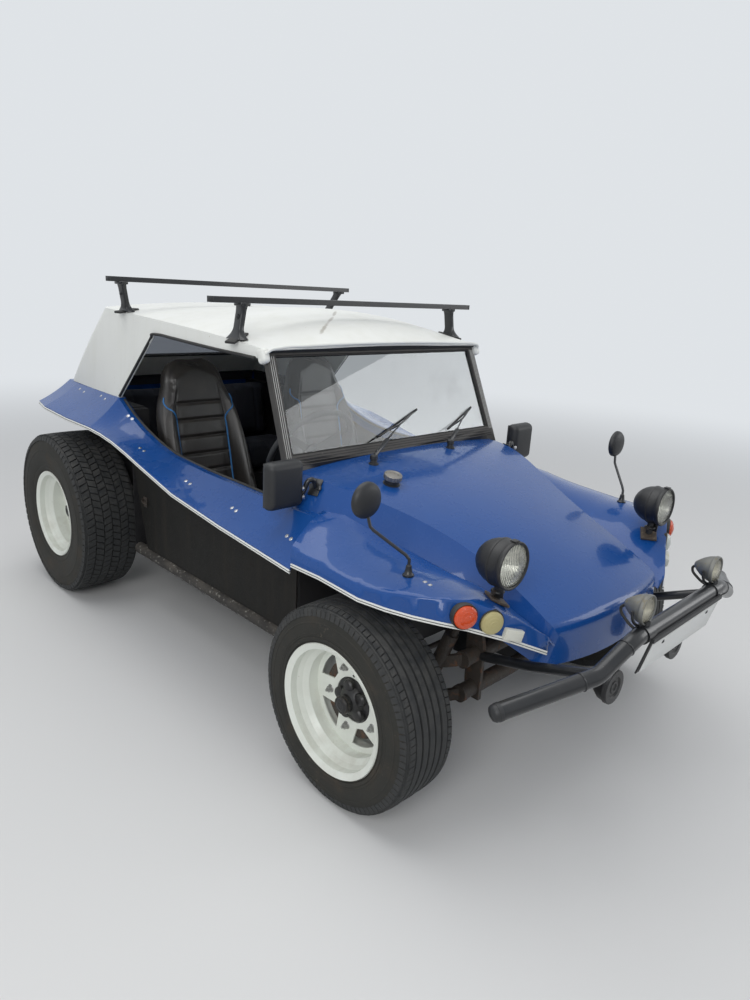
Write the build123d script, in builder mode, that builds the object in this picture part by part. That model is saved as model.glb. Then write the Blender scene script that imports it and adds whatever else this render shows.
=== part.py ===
from build123d import *
import os
from math import cos, hypot, radians, sin, tan

# An open two-seat beach buggy: a moulded body on a shortened platform chassis, engine at the back.
# Millimetres. Z is up, the nose points along -Y and the vehicle's right side is -X.
# Places along the car are distances behind the front axle, turned into Y by back().

# Stance and wheels
wheelbase = 2032.0
front_axle_y = -970.0
wall = 6.0                      # moulded body shell
sheet = 4.0                     # pressed steel and flat panels
seam = 0.4                      # clearance between neighbouring body panels
seat_gap = 0.3                  # clearance where curved faces meet
running = 0.05                  # radial clearance of a shaft in its bore

front_tyre_radius = 318.0
front_tyre_width = 206.0
front_wheel_x = 674.0
front_rim_width = 200.0
rear_tyre_radius = 385.0
rear_tyre_width = 268.0
rear_wheel_x = 660.0
rear_rim_width = 240.0
flange_radius = 207.0
bead_radius = 190.5
well_radius = 170.0
rim_wall = 4.0
disc_wall = 5.0
disc_hole_radius = 72.0
window_count = 5
window_turn = 175.0             # the first window, turned up from the rear of the wheel
window_outer_radius = 148.0
window_inner_radius = 92.0
window_outer_angle = 21.0       # half of the angle that a window covers at the barrel
window_inner_angle = 9.0
spindle_radius = 15.0
hub_cap_radius = 27.0
hub_cap_reach = 52.0            # the hub cap stands this far outside the wheel disc

# Steering
kingpin_x = 548.0
kingpin_radius = 10.0
kingpin_low = 262.0
kingpin_high = 374.0
steering_arm = 110.0            # from the kingpin back to the tie rod
steering_arm_x = 530.0
steering_arm_z = 296.0
steering_wheel_radius = 180.0
steering_wheel_x = -305.0
steering_wheel_distance = 685.0
steering_wheel_z = 912.0
column_slope = 30.0             # degrees above level, towards the driver

# Chassis
floor_z = 300.0
floor_front = 150.0
floor_back = wheelbase - 392.0
rail_x = 575.0
rail_radius = 25.0
rail_z = floor_z + rail_radius - 15.0
rail_front = 400.0
rail_back = floor_back - 80.0
beam_distance = -210.0
beam_low_z = 345.0
beam_high_z = 460.0
beam_radius = 25.0
beam_half = 420.0
footwell_half = 400.0
tub_clear = 36.0                # between the inner tub and the rear tyres
tub_half = rear_wheel_x - rear_tyre_width / 2 - tub_clear
shelf_z = 540.0

# Screen and roof
screen_foot = 480.0             # distance and height of the screen frame's lower edge
screen_foot_z = 924.0
screen_rake = 22.3
screen_height = 390.0           # along the slope
screen_low_half = 574.0
screen_high_half = 553.0
screen_bar = 34.0
screen_thickness = 24.0
glass_thickness = 5.0
roof_base_z = 990.0
roof_wall = 6.0
roof_front = 604.0
roof_back = wheelbase + 240.0   # where the rear slope meets the body
roof_break = wheelbase - 200.0  # where the rear slope leaves the top
roof_break_z = 1398.0
rack_bar_width = 30.0
rack_bar_height = 20.0
front_rack_distance = 776.0
front_rack_top = 1457.0
front_rack_half = 677.0
rear_rack_distance = wheelbase - 453.0
rear_rack_top = 1499.0
rear_rack_half = 657.0

# Ends
rear_bumper_radius = 21.0
engine_front = wheelbase + 204.0
rear_bumper_back = engine_front + 378.0


def back(distance):
    """Y of a place that lies this far behind the front axle."""
    return front_axle_y + distance


def across(distance):
    """Upright plane across the car: sketch x is the car's X and sketch y is height."""
    return Plane.XZ.offset(-back(distance))


def along(x):
    """Upright plane along the car: sketch x is the car's Y and sketch y is height."""
    return Plane.YZ.offset(x)


def slab(x, distance, z):
    """A plain block from three pairs of limits."""
    with BuildPart() as piece:
        with BuildSketch(Plane.XY.offset(z[0])):
            with Locations(((x[0] + x[1]) / 2, (back(distance[0]) + back(distance[1])) / 2)):
                Rectangle(x[1] - x[0], distance[1] - distance[0])
        extrude(amount=z[1] - z[0])
    return piece.part


def rod(start, end, radius, bore=0.0):
    """A straight round bar or tube between two points."""
    reach = Vector(*end) - Vector(*start)
    with BuildPart() as piece:
        with BuildSketch(Plane(origin=start, z_dir=reach)):
            Circle(radius)
            if bore:
                Circle(bore, mode=Mode.SUBTRACT)
        extrude(amount=reach.length)
    return piece.part


def bent_tube(points, radius, bend):
    """A round bar along straight runs joined by arcs."""
    with BuildPart() as piece:
        with BuildLine() as path:
            FilletPolyline(*points, radius=bend)
        with BuildSketch(Plane(origin=path.line @ 0, z_dir=path.line % 0)):
            Circle(radius)
        sweep()
    return piece.part


def bar(start, end, width, height):
    """A flat bar between two points, its height in the upright plane."""
    reach = Vector(*end) - Vector(*start)
    level = Vector(reach.Y, -reach.X, 0)
    with BuildPart() as piece:
        with BuildSketch(Plane(origin=start, x_dir=level, z_dir=reach)):
            Rectangle(width, height)
        extrude(amount=reach.length)
    return piece.part


def side_pair(piece):
    """A piece and its mirror image across the car's middle plane."""
    return [piece, piece.mirror(Plane.YZ)]


def inset_points(points, wall_thickness):
    """The bends of a sheet one wall to the right of an open run of points."""
    shifted = []
    for i, (x, z) in enumerate(points):
        runs = []
        if i > 0:
            runs.append((x - points[i - 1][0], z - points[i - 1][1]))
        if i < len(points) - 1:
            runs.append((points[i + 1][0] - x, points[i + 1][1] - z))
        normals = [(dz / hypot(dx, dz), -dx / hypot(dx, dz)) for dx, dz in runs]
        nx = sum(n[0] for n in normals) / len(normals)
        nz = sum(n[1] for n in normals) / len(normals)
        scale = wall_thickness / (nx * nx + nz * nz)
        shifted.append((x + nx * scale, z + nz * scale))
    return shifted


# Bonnet and nose: one crowned form, used whole, thinned inside, and to trim its neighbours.
# Columns: distance, crown height, shoulder x, shoulder height, lower edge x, lower edge height
bonnet_sections = [
    (500, 925, 530, 903, 592, 800),
    (150, 868, 430, 853, 530, 735),
    (-125, 785, 338, 763, 438, 622),
    (-300, 714, 325, 690, 392, 556),
    (-480, 608, 322, 590, 344, 481),
]
nose_front = -474.0
nose_bow = 42.0                 # the nose stands this far ahead of its corners
nose_half = 340.0
nose_round = 46.0


def bonnet_form(grow, front_grow):
    """The bonnet's outer form as a solid, grown outwards on every side but the bottom."""
    with BuildPart() as form:
        for distance, crown_z, shoulder_x, shoulder_z, edge_x, edge_z in bonnet_sections:
            with BuildSketch(across(distance)):
                with BuildLine():
                    crown = (0, crown_z + grow)
                    shoulder = (shoulder_x + grow, shoulder_z + grow)
                    edge = (edge_x + grow, edge_z - (30 if grow < 0 else 0))
                    ThreePointArc((-shoulder[0], shoulder[1]), crown, shoulder)
                    Polyline(shoulder, edge, (-edge[0], edge[1]), (-shoulder[0], shoulder[1]))
                make_face()
        loft()
        bow_radius = (nose_half ** 2 + nose_bow ** 2) / (2 * nose_bow)
        tip = back(nose_front - front_grow)
        with BuildSketch(Plane.XY):
            with BuildLine():
                corner = (700, tip + bow_radius - (bow_radius ** 2 - 700 ** 2) ** 0.5)
                arc = ThreePointArc((-corner[0], corner[1]), (0, tip), corner)
                Polyline(corner, (700, back(600)), (-700, back(600)), (-corner[0], corner[1]))
            make_face()
        extrude(amount=1200, mode=Mode.INTERSECT)
        front = form.faces().sort_by(Axis.Y)[0]
        upper = front.edges().filter_by(lambda e: e.center().Z > 490).sort_by(Axis.Z)
        fillet(upper, radius=nose_round + min(grow, 0))
    return form.part


bonnet_outside = bonnet_form(0.0, 0.0)
bonnet_inside = bonnet_form(-wall, -wall)
bonnet_clear = bonnet_form(seam, seam)

with BuildPart() as bonnet:
    add(bonnet_outside)
    add(bonnet_inside, mode=Mode.SUBTRACT)
bonnet.part.label = "bonnet"
export_step(bonnet.part, "parts/bonnet.step")

# Front fenders: a crowned sheet with a tall lip that carries the small lamps.
# Columns: distance, inner x, inner height, crown x, crown height, edge x, lip top, lip bottom
fender_sections = [
    (330, 527, 815, 650, 800, 740, 756, 695),
    (240, 500, 812, 640, 794, 740, 748, 695),
    (100, 450, 757, 628, 770, 740, 740, 698),
    (-65, 390, 698, 610, 754, 740, 730, 690),
    (-150, 362, 668, 592, 753, 718, 733, 686),
    (-220, 348, 652, 566, 750, 687, 739, 681),
    (-286, 340, 632, 530, 738, 646, 745, 675),
    (-330, 336, 616, 482, 712, 594, 742, 662),
    (-390, 330, 592, 410, 654, 472, 684, 612),
    (-446, 325, 572, 345, 590, 368, 612, 564),
]


seam_outer = (740.0, 236.0)       # the seam between fender and body side, as x and distance
seam_inner = (576.0, 300.0)
seam_way = Vector(seam_inner[0] - seam_outer[0], seam_inner[1] - seam_outer[1], 0)
seam_normal = Vector(seam_way.Y, -seam_way.X, 0).normalized()


def seam_plane(clearance):
    """The upright plane between fender and body side; its normal points back along the car."""
    origin = Vector(seam_outer[0], back(seam_outer[1]), 0) + seam_normal * clearance
    return Plane(origin=origin, z_dir=seam_normal)


def sheet_section(distance, inner, crown, lip_top, lip_bottom):
    """One thin closed section: a crowned top from inner to lip_top, and a lip down to lip_bottom."""
    low = inset_points([inner, crown, lip_top, lip_bottom], wall)
    with BuildSketch(across(distance)) as section:
        with BuildLine():
            ThreePointArc(inner, crown, lip_top)
            Polyline(lip_top, lip_bottom, low[3], low[2])
            ThreePointArc(low[2], low[1], low[0])
            Line(low[0], inner)
        make_face()
    return section.sketch


fender_faces = []
for distance, inner_x, inner_z, crown_x, crown_z, edge_x, lip_top, lip_bottom in fender_sections:
    fender_faces.append(sheet_section(distance, (inner_x, inner_z), (crown_x, crown_z),
                                      (edge_x, lip_top), (edge_x, lip_bottom)))
with BuildPart() as fender_left:
    loft(fender_faces, ruled=True)
    split(bisect_by=seam_plane(0.0), keep=Keep.BOTTOM)
    add(bonnet_clear, mode=Mode.SUBTRACT)
fender_piece = fender_left.solids().sort_by(Axis.X)[-1]

with BuildPart() as front_fenders:
    for piece in side_pair(fender_piece):
        add(piece)
front_fenders.part.label = "front_fenders"
export_step(front_fenders.part, "parts/front_fenders.step")

# Body sides: the sill's flat top, a hollowed flank down to the flange, and the flange's lip.
# Columns: distance, flange x, flange height, top outer x, top height, top inner x
side_sections = [
    (230, 740, 680, 606, 806, 574),
    (632, 740, 714, 606, 806, 574),
    (949, 740, 749, 606, 809, 574),
    (1198, 740, 804, 606, 823, 574),
    (wheelbase - 719, 740, 831, 606, 845, 574),
    (wheelbase - 599, 740, 855, 606, 883, 574),
    (wheelbase - 492, 740, 868, 606, 930, 574),
    (wheelbase - 391, 740, 874, 606, roof_base_z, 574),
    (wheelbase - 131, 740, 875, 592, roof_base_z, 560),
    (wheelbase + 118, 738, 886, 572, roof_base_z, 540),
    (wheelbase + 244, 716, 892, 560, roof_base_z, 528),
]
flange_lip = 10.0
flank_hollow = 8.0
sill_leg = 46.0
body_back = side_sections[-1][0]
rear_panel_low = 840.0
rear_panel_half = 600.0

side_faces = []
for distance, flange_x, flange_z, top_x, top_z, inner_x in side_sections:
    outer = [(flange_x, flange_z - flange_lip), (flange_x, flange_z), (top_x, top_z),
             (inner_x, top_z), (inner_x, top_z - sill_leg)]
    inner = inset_points(outer, -wall)
    hollow = ((flange_x + top_x) / 2, (flange_z + top_z) / 2 - flank_hollow)
    under = ((inner[1][0] + inner[2][0]) / 2, (inner[1][1] + inner[2][1]) / 2 - flank_hollow)
    with BuildSketch(across(distance)) as section:
        with BuildLine():
            Line(outer[0], outer[1])
            ThreePointArc(outer[1], hollow, outer[2])
            Polyline(outer[2], outer[3], outer[4], inner[4], inner[3], inner[2])
            ThreePointArc(inner[2], under, inner[1])
            Polyline(inner[1], inner[0], outer[0])
        make_face()
    side_faces.append(section.sketch)
with BuildPart() as side_left:
    loft(side_faces, ruled=True)
    split(bisect_by=seam_plane(3.0), keep=Keep.TOP)
    add(bonnet_clear, mode=Mode.SUBTRACT)
side_piece = side_left.solids().sort_by(SortBy.VOLUME)[-1]

tail_x, tail_z, tail_top_x = side_sections[-1][1:4]
tail_hollow = ((tail_x + tail_top_x) / 2, (tail_z + roof_base_z) / 2 - flank_hollow)

with BuildPart() as body_shell:
    for piece in side_pair(side_piece):
        add(piece)
    with BuildSketch(across(body_back)):
        with BuildLine() as half_edge:
            Line((0, roof_base_z), (tail_top_x, roof_base_z))
            ThreePointArc((tail_top_x, roof_base_z), tail_hollow, (tail_x, tail_z))
            Polyline((tail_x, tail_z), (tail_x, tail_z - flange_lip),
                     (rear_panel_half, rear_panel_low), (0, rear_panel_low))
            mirror(about=Plane.YZ)
        make_face()
    extrude(amount=wall)
body_shell.part.label = "body_shell"
export_step(body_shell.part, "parts/body_shell.step")

# The steering column's line, and the hole that it needs in what it passes through.
column_dir = Vector(0, cos(radians(column_slope)), sin(radians(column_slope)))
hub_centre = Vector(steering_wheel_x, back(steering_wheel_distance), steering_wheel_z)
column_radius = 22.0
shaft_radius = 9.0
wheel_stand_off = 34.0
column_length = 600.0
column_top = hub_centre - column_dir * wheel_stand_off
column_low = column_top - column_dir * column_length
column_hole = rod(column_top + column_dir * 40, column_low - column_dir * 60, column_radius + seat_gap)

# Inner tub: footwell, side closing panels, rear bulkhead, shelf over the gearbox, wheel boxes.
shelf_back = wheelbase + 78.0
arch_front = floor_back - 40.0
arch_top = roof_base_z - sill_leg - sheet
sill_inner_x = side_sections[1][5]
footwell_top = 600.0
tub_floor = floor_z + sheet
inner_tub_pieces = [
    slab((-footwell_half, footwell_half), (floor_front, floor_front + sheet),
         (tub_floor, footwell_top)),
    slab((-tub_half, tub_half), (floor_back, floor_back + sheet), (tub_floor, shelf_z)),
    slab((-tub_half, tub_half), (floor_back, shelf_back), (shelf_z, shelf_z + sheet)),
    slab((-tub_half, tub_half), (shelf_back - sheet, shelf_back), (shelf_z, rear_panel_low)),
    slab((-tub_half, tub_half), (shelf_back - sheet, body_back - wall),
         (rear_panel_low, rear_panel_low + sheet)),
]
for side in (-1, 1):
    wall_x = sorted((side * footwell_half, side * (footwell_half - sheet)))
    close_x = sorted((side * (footwell_half - sheet), side * (sill_inner_x - seam)))
    arch_x = sorted((side * tub_half, side * (tub_half - sheet)))
    box_x = sorted((side * (tub_half - sheet), side * (sill_inner_x - seam)))
    lid_x = sorted((side * (tub_half - sheet), side * (sill_inner_x - wall)))
    inner_tub_pieces += [
        slab(wall_x, (floor_front, rail_front), (tub_floor, footwell_top)),
        slab(close_x, (rail_front - sheet, rail_front), (tub_floor, footwell_top)),
        slab(arch_x, (arch_front, body_back - wall), (shelf_z, arch_top)),
        slab(box_x, (arch_front, arch_front + sheet), (tub_floor, arch_top)),
        slab(lid_x, (side_sections[7][0], body_back - wall), (arch_top, arch_top + sheet)),
        slab(arch_x, (arch_front, floor_back + sheet), (tub_floor, shelf_z)),
    ]
with BuildPart() as inner_tub:
    for piece in inner_tub_pieces:
        add(piece)
    add(column_hole, mode=Mode.SUBTRACT)
inner_tub.part.label = "inner_tub"
export_step(inner_tub.part, "parts/inner_tub.step")

# Floor pan with its hollow tunnel and the frame head that reaches the front beam.
tunnel_half = 65.0
tunnel_height = 130.0
head_half = 75.0
head_top = 470.0
pan_half = rail_x - rail_radius - seat_gap
with BuildPart() as floor_pan:
    add(slab((-pan_half, pan_half), (rail_front, floor_back), (floor_z, floor_z + sheet)))
    add(slab((-footwell_half, footwell_half), (floor_front, rail_front), (floor_z, floor_z + sheet)))
    add(slab((-tunnel_half, tunnel_half), (floor_front + sheet + 1, floor_back - 1),
             (floor_z, floor_z + tunnel_height)))
    add(slab((-tunnel_half + sheet, tunnel_half - sheet), (0, floor_back + 10),
             (floor_z - 10, floor_z + tunnel_height - sheet)), mode=Mode.SUBTRACT)
    head_tip = back(beam_distance + beam_radius + 8)
    head_outline = [(back(floor_front), floor_z), (back(floor_front), head_top - 60),
                    (head_tip, head_top), (head_tip, floor_z + 16), (back(-20), floor_z)]
    with BuildSketch(along(-head_half)):
        with BuildLine():
            Polyline(*head_outline, close=True)
        make_face()
    extrude(amount=2 * head_half)
floor_pan.part.label = "floor_pan"
export_step(floor_pan.part, "parts/floor_pan.step")

# Side rails and the flat side panels between them and the body's flange.
with BuildPart() as side_rails:
    for side in (-1, 1):
        add(rod((side * rail_x, back(rail_front), rail_z), (side * rail_x, back(rail_back), rail_z),
                rail_radius))
side_rails.part.label = "side_rails"
export_step(side_rails.part, "parts/side_rails.step")

panel_low = rail_z + rail_radius + seat_gap
panel_under = 14.0              # the panel's top edge lies this far under the sill's top
panel_x = sill_inner_x + wall
panel_back = floor_back - 67.0
panel_tops = [(back(side_sections[i][0]), side_sections[i][4] - panel_under) for i in (2, 3, 5)]
with BuildPart() as panel_left:
    with BuildSketch(along(panel_x)):
        with BuildLine():
            Polyline((back(rail_front), panel_low),
                     (back(rail_front), side_sections[1][4] - panel_under), *panel_tops,
                     (back(panel_back), panel_tops[-1][1] + 11), (back(panel_back), 697),
                     (back(panel_back - 108), panel_low), close=True)
        make_face()
    extrude(amount=sheet)
with BuildPart() as side_panels:
    for piece in side_pair(panel_left.part):
        add(piece)
side_panels.part.label = "side_panels"
export_step(side_panels.part, "parts/side_panels.step")

# Windscreen: a flat glass in a raked frame whose foot is cut to the cowl.
screen_plane = Plane(origin=(0, back(screen_foot), screen_foot_z), x_dir=(1, 0, 0),
                     z_dir=(0, -cos(radians(screen_rake)), sin(radians(screen_rake))))
screen_foot_drop = 34.0


def screen_outline(inset, drop):
    """The screen's trapezium, drawn in by one inset, with its foot dropped below the cowl line."""
    low = screen_low_half - inset
    high = screen_high_half - inset
    return [(-low, inset - drop), (low, inset - drop), (high, screen_height - inset),
            (-high, screen_height - inset)]


with BuildPart() as windscreen_frame:
    with BuildSketch(screen_plane):
        with BuildLine():
            Polyline(*screen_outline(0, screen_foot_drop), close=True)
        make_face()
        with BuildLine():
            Polyline(*screen_outline(screen_bar, 0), close=True)
        make_face(mode=Mode.SUBTRACT)
    extrude(amount=-screen_thickness)
    add(bonnet_clear, mode=Mode.SUBTRACT)
frame_piece = windscreen_frame.solids().sort_by(SortBy.VOLUME)[-1]
with BuildPart() as windscreen_frame:
    add(frame_piece)
windscreen_frame.part.label = "windscreen_frame"
export_step(windscreen_frame.part, "parts/windscreen_frame.step")

with BuildPart() as windscreen_glass:
    with BuildSketch(screen_plane.offset(-(screen_thickness - glass_thickness) / 2)):
        with BuildLine():
            Polyline(*screen_outline(screen_bar + seat_gap, 0), close=True)
        make_face()
    extrude(amount=-glass_thickness)
windscreen_glass.part.label = "windscreen_glass"
export_step(windscreen_glass.part, "parts/windscreen_glass.step")

# Hardtop: a crowned moulding with a straight rear slope and cut side openings.
# Columns: distance, crown height, shoulder x, shoulder height, base x
roof_sections = [
    (roof_front, 1306, 560, 1292, 604),
    (760, 1380, 582, 1312, 604),
    (1100, 1414, 586, 1334, 604),
    (roof_break, roof_break_z, 566, 1362, 594),
    (roof_back + 128, 1352, 540, 1330, 548),
]
roof_corner = 60.0
opening_corner = 24.0


def roof_form(inset):
    """The hardtop's outer form, or its inside when inset by the wall."""
    slope = Vector(0, back(roof_back) - back(roof_break), roof_base_z - roof_break_z)
    normal = Vector(0, -slope.Z, slope.Y).normalized()
    foot = Vector(0, back(roof_back), roof_base_z) - normal * inset
    with BuildPart() as form:
        for distance, crown_z, shoulder_x, shoulder_z, base_x in roof_sections:
            with BuildSketch(across(distance)):
                with BuildLine():
                    shoulder = (shoulder_x - inset, shoulder_z - inset)
                    base = (base_x - inset, roof_base_z - 5 * inset)
                    ThreePointArc((-shoulder[0], shoulder[1]), (0, crown_z - inset), shoulder)
                    Polyline(shoulder, base, (-base[0], base[1]), (-shoulder[0], shoulder[1]))
                make_face()
        loft()
        split(bisect_by=Plane(origin=foot, z_dir=normal), keep=Keep.BOTTOM)
        rear = form.faces().sort_by(Axis.Y)[-1]
        corners = rear.edges().filter_by(lambda e: e.center().Z > roof_base_z - 4 * inset + 20)
        fillet(corners, radius=roof_corner - inset)
    return form.part


roof_outside = roof_form(0.0)
roof_inside = roof_form(roof_wall)
opening_back = side_sections[7][0]
opening_outline = [(back(300), roof_base_z - 40), (back(300), 1258), (back(583), 1262),
                   (back(opening_back - 292), 1285), (back(opening_back), roof_base_z),
                   (back(opening_back), roof_base_z - 40)]
with BuildPart() as screen_slot:
    with BuildSketch(screen_plane.offset(60)):
        with BuildLine():
            Polyline((-700, -60), (700, -60), (700, screen_height + seam),
                     (-700, screen_height + seam), close=True)
        make_face()
    extrude(amount=-60 - screen_thickness - seam)

rear_slope = Vector(0, back(roof_break) - back(roof_back), roof_break_z - roof_base_z).normalized()
rear_plane = Plane(origin=(0, back(roof_back), roof_base_z), x_dir=(-1, 0, 0),
                   z_dir=(0, rear_slope.Z, -rear_slope.Y))
rear_window_low = 185.0         # along the slope, from the hardtop's foot
rear_window_high = 480.0
rear_window_half = 410.0
rear_window_corner = 40.0


def rear_window_shape(inset):
    """The rear window's outline on the slope."""
    height = rear_window_high - rear_window_low - 2 * inset
    with BuildSketch(rear_plane.offset(40)) as shape:
        with Locations((0, (rear_window_low + rear_window_high) / 2)):
            RectangleRounded(2 * (rear_window_half - inset), height, rear_window_corner - inset)
    return shape.sketch


with BuildPart() as hardtop:
    add(roof_outside)
    add(roof_inside, mode=Mode.SUBTRACT)
    with BuildSketch(along(-700)):
        with BuildLine():
            Polyline(*opening_outline, close=True)
        make_face()
        fillet(vertices().sort_by(Axis.Y)[-3], radius=opening_corner)
    extrude(amount=1400, mode=Mode.SUBTRACT)
    add(screen_slot.part, mode=Mode.SUBTRACT)
    extrude(rear_window_shape(0.0), amount=-90, mode=Mode.SUBTRACT)
hardtop_piece = hardtop.solids().sort_by(SortBy.VOLUME)[-1]
hardtop_piece = hardtop_piece.moved(Location((0, 0, seam)))
with BuildPart() as hardtop:
    add(hardtop_piece)
hardtop.part.label = "hardtop"
export_step(hardtop.part, "parts/hardtop.step")

with BuildPart() as rear_window:
    extrude(rear_window_shape(seat_gap), amount=-40 - glass_thickness)
    extrude(rear_window_shape(-1.0), amount=-40 - 1.0, mode=Mode.SUBTRACT)
rear_window.part.label = "rear_window"
export_step(rear_window.part, "parts/rear_window.step")

# Roof rack: two square bars on four stamped feet that stand on the roof's shoulders.
foot_width = 30.0
foot_length = 92.0
foot_neck = 44.0
foot_sink = 6.0                 # the blank starts this far below the shoulder and is cut to the roof
# Columns: distance, bar top, bar half length, shoulder x, shoulder height, foot's top x, foot's lean back
rack_bars = [
    (front_rack_distance, front_rack_top, front_rack_half, 582.0, 1313.0, 548.0, 0.0),
    (rear_rack_distance, rear_rack_top, rear_rack_half, 570.0, 1356.0, 600.0, 60.0),
]
with BuildPart() as roof_bars:
    for distance, top, half, shoulder_x, shoulder_z, neck_x, lean in rack_bars:
        add(slab((-half, half), (distance - rack_bar_width / 2, distance + rack_bar_width / 2),
                 (top - rack_bar_height, top)))
roof_bars.part.label = "roof_bars"
export_step(roof_bars.part, "parts/roof_bars.step")

roof_skin = hardtop_piece.moved(Location((0, 0, seat_gap)))
foot_solids = []
for distance, top, half, shoulder_x, shoulder_z, neck_x, lean in rack_bars:
    with BuildPart() as foot:
        with BuildSketch(Plane.XY.offset(top - rack_bar_height)):
            with Locations((neck_x, back(distance))):
                Rectangle(foot_width, foot_neck)
        with BuildSketch(Plane.XY.offset(shoulder_z - foot_sink)):
            with Locations((shoulder_x - foot_width / 2, back(distance + lean))):
                Rectangle(foot_width, foot_length)
        loft()
        add(roof_skin, mode=Mode.SUBTRACT)
        add(roof_inside, mode=Mode.SUBTRACT)
    foot_solids.append(foot.solids().sort_by(Axis.Z)[-1])
with BuildPart() as bar_feet:
    for foot_solid in foot_solids:
        for piece in side_pair(foot_solid):
            add(piece)
bar_feet.part.label = "bar_feet"
export_step(bar_feet.part, "parts/bar_feet.step")

# Seats: high-backed buckets, and a bench on the shelf behind them.
seat_x = 338.0
seat_half = 220.0
bolster = 62.0
bucket_depth = 46.0
seat_profile = [(905, 330), (905, 505), (1290, 470), (1452, 1185), (1530, 1170), (1440, 430), (1400, 330)]


def seat_form():
    """One bucket seat about the middle plane: an extruded profile with the bucket cut out of it."""
    with BuildPart() as seat:
        with BuildSketch(along(-seat_half)):
            with BuildLine():
                Polyline(*[(back(distance), z) for distance, z in seat_profile], close=True)
            make_face()
        extrude(amount=2 * seat_half)
        with BuildSketch(along(-seat_half + bolster)):
            with BuildLine():
                Polyline((back(880), 560), (back(880), 505 - bucket_depth),
                         (back(1310), 470 - bucket_depth), (back(1452 + 8), 1100), (back(1200), 1100),
                         close=True)
            make_face()
        extrude(amount=2 * (seat_half - bolster), mode=Mode.SUBTRACT)
    return seat.part


seat_solid = seat_form()
for name, side in (("seat_driver", -1), ("seat_passenger", 1)):
    with BuildPart() as seat:
        with Locations((side * seat_x, 0, 0)):
            add(seat_solid)
    seat.part.label = name
    export_step(seat.part, "parts/" + name + ".step")

seat_base_top = 330.0 - seat_gap
with BuildPart() as seat_runners:
    for side in (-1, 1):
        for edge in (-150, 150):
            add(slab((side * seat_x + edge - 15, side * seat_x + edge + 15), (930, 1370),
                     (floor_z + sheet, seat_base_top)))
seat_runners.part.label = "seat_runners"
export_step(seat_runners.part, "parts/seat_runners.step")

bench_half = tub_half - 20.0
bench_low = shelf_z + sheet + seat_gap
with BuildPart() as rear_seat:
    with BuildSketch(along(-bench_half)):
        with BuildLine():
            Polyline((back(floor_back + 15), bench_low), (back(floor_back + 15), 690),
                     (back(shelf_back - 160), 660), (back(shelf_back - 100), 985),
                     (back(shelf_back - 12), 985), (back(shelf_back - 12), bench_low), close=True)
        make_face()
    extrude(amount=2 * bench_half)
rear_seat.part.label = "rear_seat"
export_step(rear_seat.part, "parts/rear_seat.step")

# Steering column between its wheel and the steering box on the beam.
box_point = (steering_wheel_x, back(beam_distance + beam_radius + 40), beam_high_z + 10)
with BuildPart() as steering_column:
    add(rod(column_top, column_low, column_radius))
    add(rod(column_low + column_dir, box_point, shaft_radius + 2))
    add(slab((steering_wheel_x - 40, steering_wheel_x + 40),
             (beam_distance + beam_radius + seat_gap, beam_distance + beam_radius + 80),
             (beam_high_z - 40, beam_high_z + 50)))
    add(rod(column_top + column_dir, column_top - column_dir * 40, shaft_radius + running),
        mode=Mode.SUBTRACT)
steering_column.part.label = "steering_column"
export_step(steering_column.part, "parts/steering_column.step")

# Dashboard under the screen, closing the back of the cowl, with a hole for the column.
dash_low = 750.0
dash_thickness = 40.0
cowl = bonnet_sections[0]
with BuildPart() as dashboard:
    with BuildSketch(across(cowl[0] + dash_thickness + seam)):
        with BuildLine():
            ThreePointArc((-cowl[2], cowl[3] - 22), (0, cowl[1] - 22), (cowl[2], cowl[3] - 22))
            Polyline((cowl[2], cowl[3] - 22), (sill_inner_x - seam, 812),
                     (sill_inner_x - seam, dash_low), (-sill_inner_x + seam, dash_low),
                     (-sill_inner_x + seam, 812), (-cowl[2], cowl[3] - 22))
        make_face()
    extrude(amount=dash_thickness)
    add(column_hole, mode=Mode.SUBTRACT)
dashboard.part.label = "dashboard"
export_step(dashboard.part, "parts/dashboard.step")

rim_tube = 12.0
spoke_count = 3
wheel_plane = Plane(origin=hub_centre, x_dir=(1, 0, 0), z_dir=column_dir)
rim_plane = Plane(origin=hub_centre, x_dir=(1, 0, 0), z_dir=Vector(0, -column_dir.Z, column_dir.Y))
with BuildPart() as steering_wheel:
    with BuildSketch(rim_plane):
        with Locations((steering_wheel_radius, 0)):
            Circle(rim_tube)
    revolve(axis=Axis(hub_centre, column_dir))
    with BuildSketch(wheel_plane.offset(-4)):
        Circle(34)
        with PolarLocations(steering_wheel_radius / 2, spoke_count, start_angle=90):
            Rectangle(steering_wheel_radius - 8, 26)
    extrude(amount=5)
    with BuildSketch(wheel_plane.offset(-26)):
        Circle(26)
    extrude(amount=44)
    with BuildSketch(wheel_plane.offset(-wheel_stand_off - 36)):
        Circle(shaft_radius)
    extrude(amount=46)
steering_wheel.part.label = "steering_wheel"
export_step(steering_wheel.part, "parts/steering_wheel.step")

# Front beam: twin torsion tubes with upright ends, and the arms and dampers that they carry.
tower_thickness = 14.0
tower_top = 588.0
tower_low = beam_low_z - 34.0
tower_x = beam_half - 60.0      # inner face of the beam's upright ends
with BuildPart() as front_beam:
    for z in (beam_low_z, beam_high_z):
        add(rod((-beam_half, back(beam_distance), z), (beam_half, back(beam_distance), z), beam_radius))
    for side in (-1, 1):
        with BuildSketch(along(side * tower_x)):
            with BuildLine():
                Polyline((back(beam_distance - 30), tower_low),
                         (back(beam_distance - 30), beam_high_z + 30),
                         (back(beam_distance - 6), tower_top), (back(beam_distance + 40), tower_top),
                         (back(beam_distance + 26), tower_low), close=True)
            make_face()
        extrude(amount=side * tower_thickness)
front_beam.part.label = "front_beam"
export_step(front_beam.part, "parts/front_beam.step")

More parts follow.
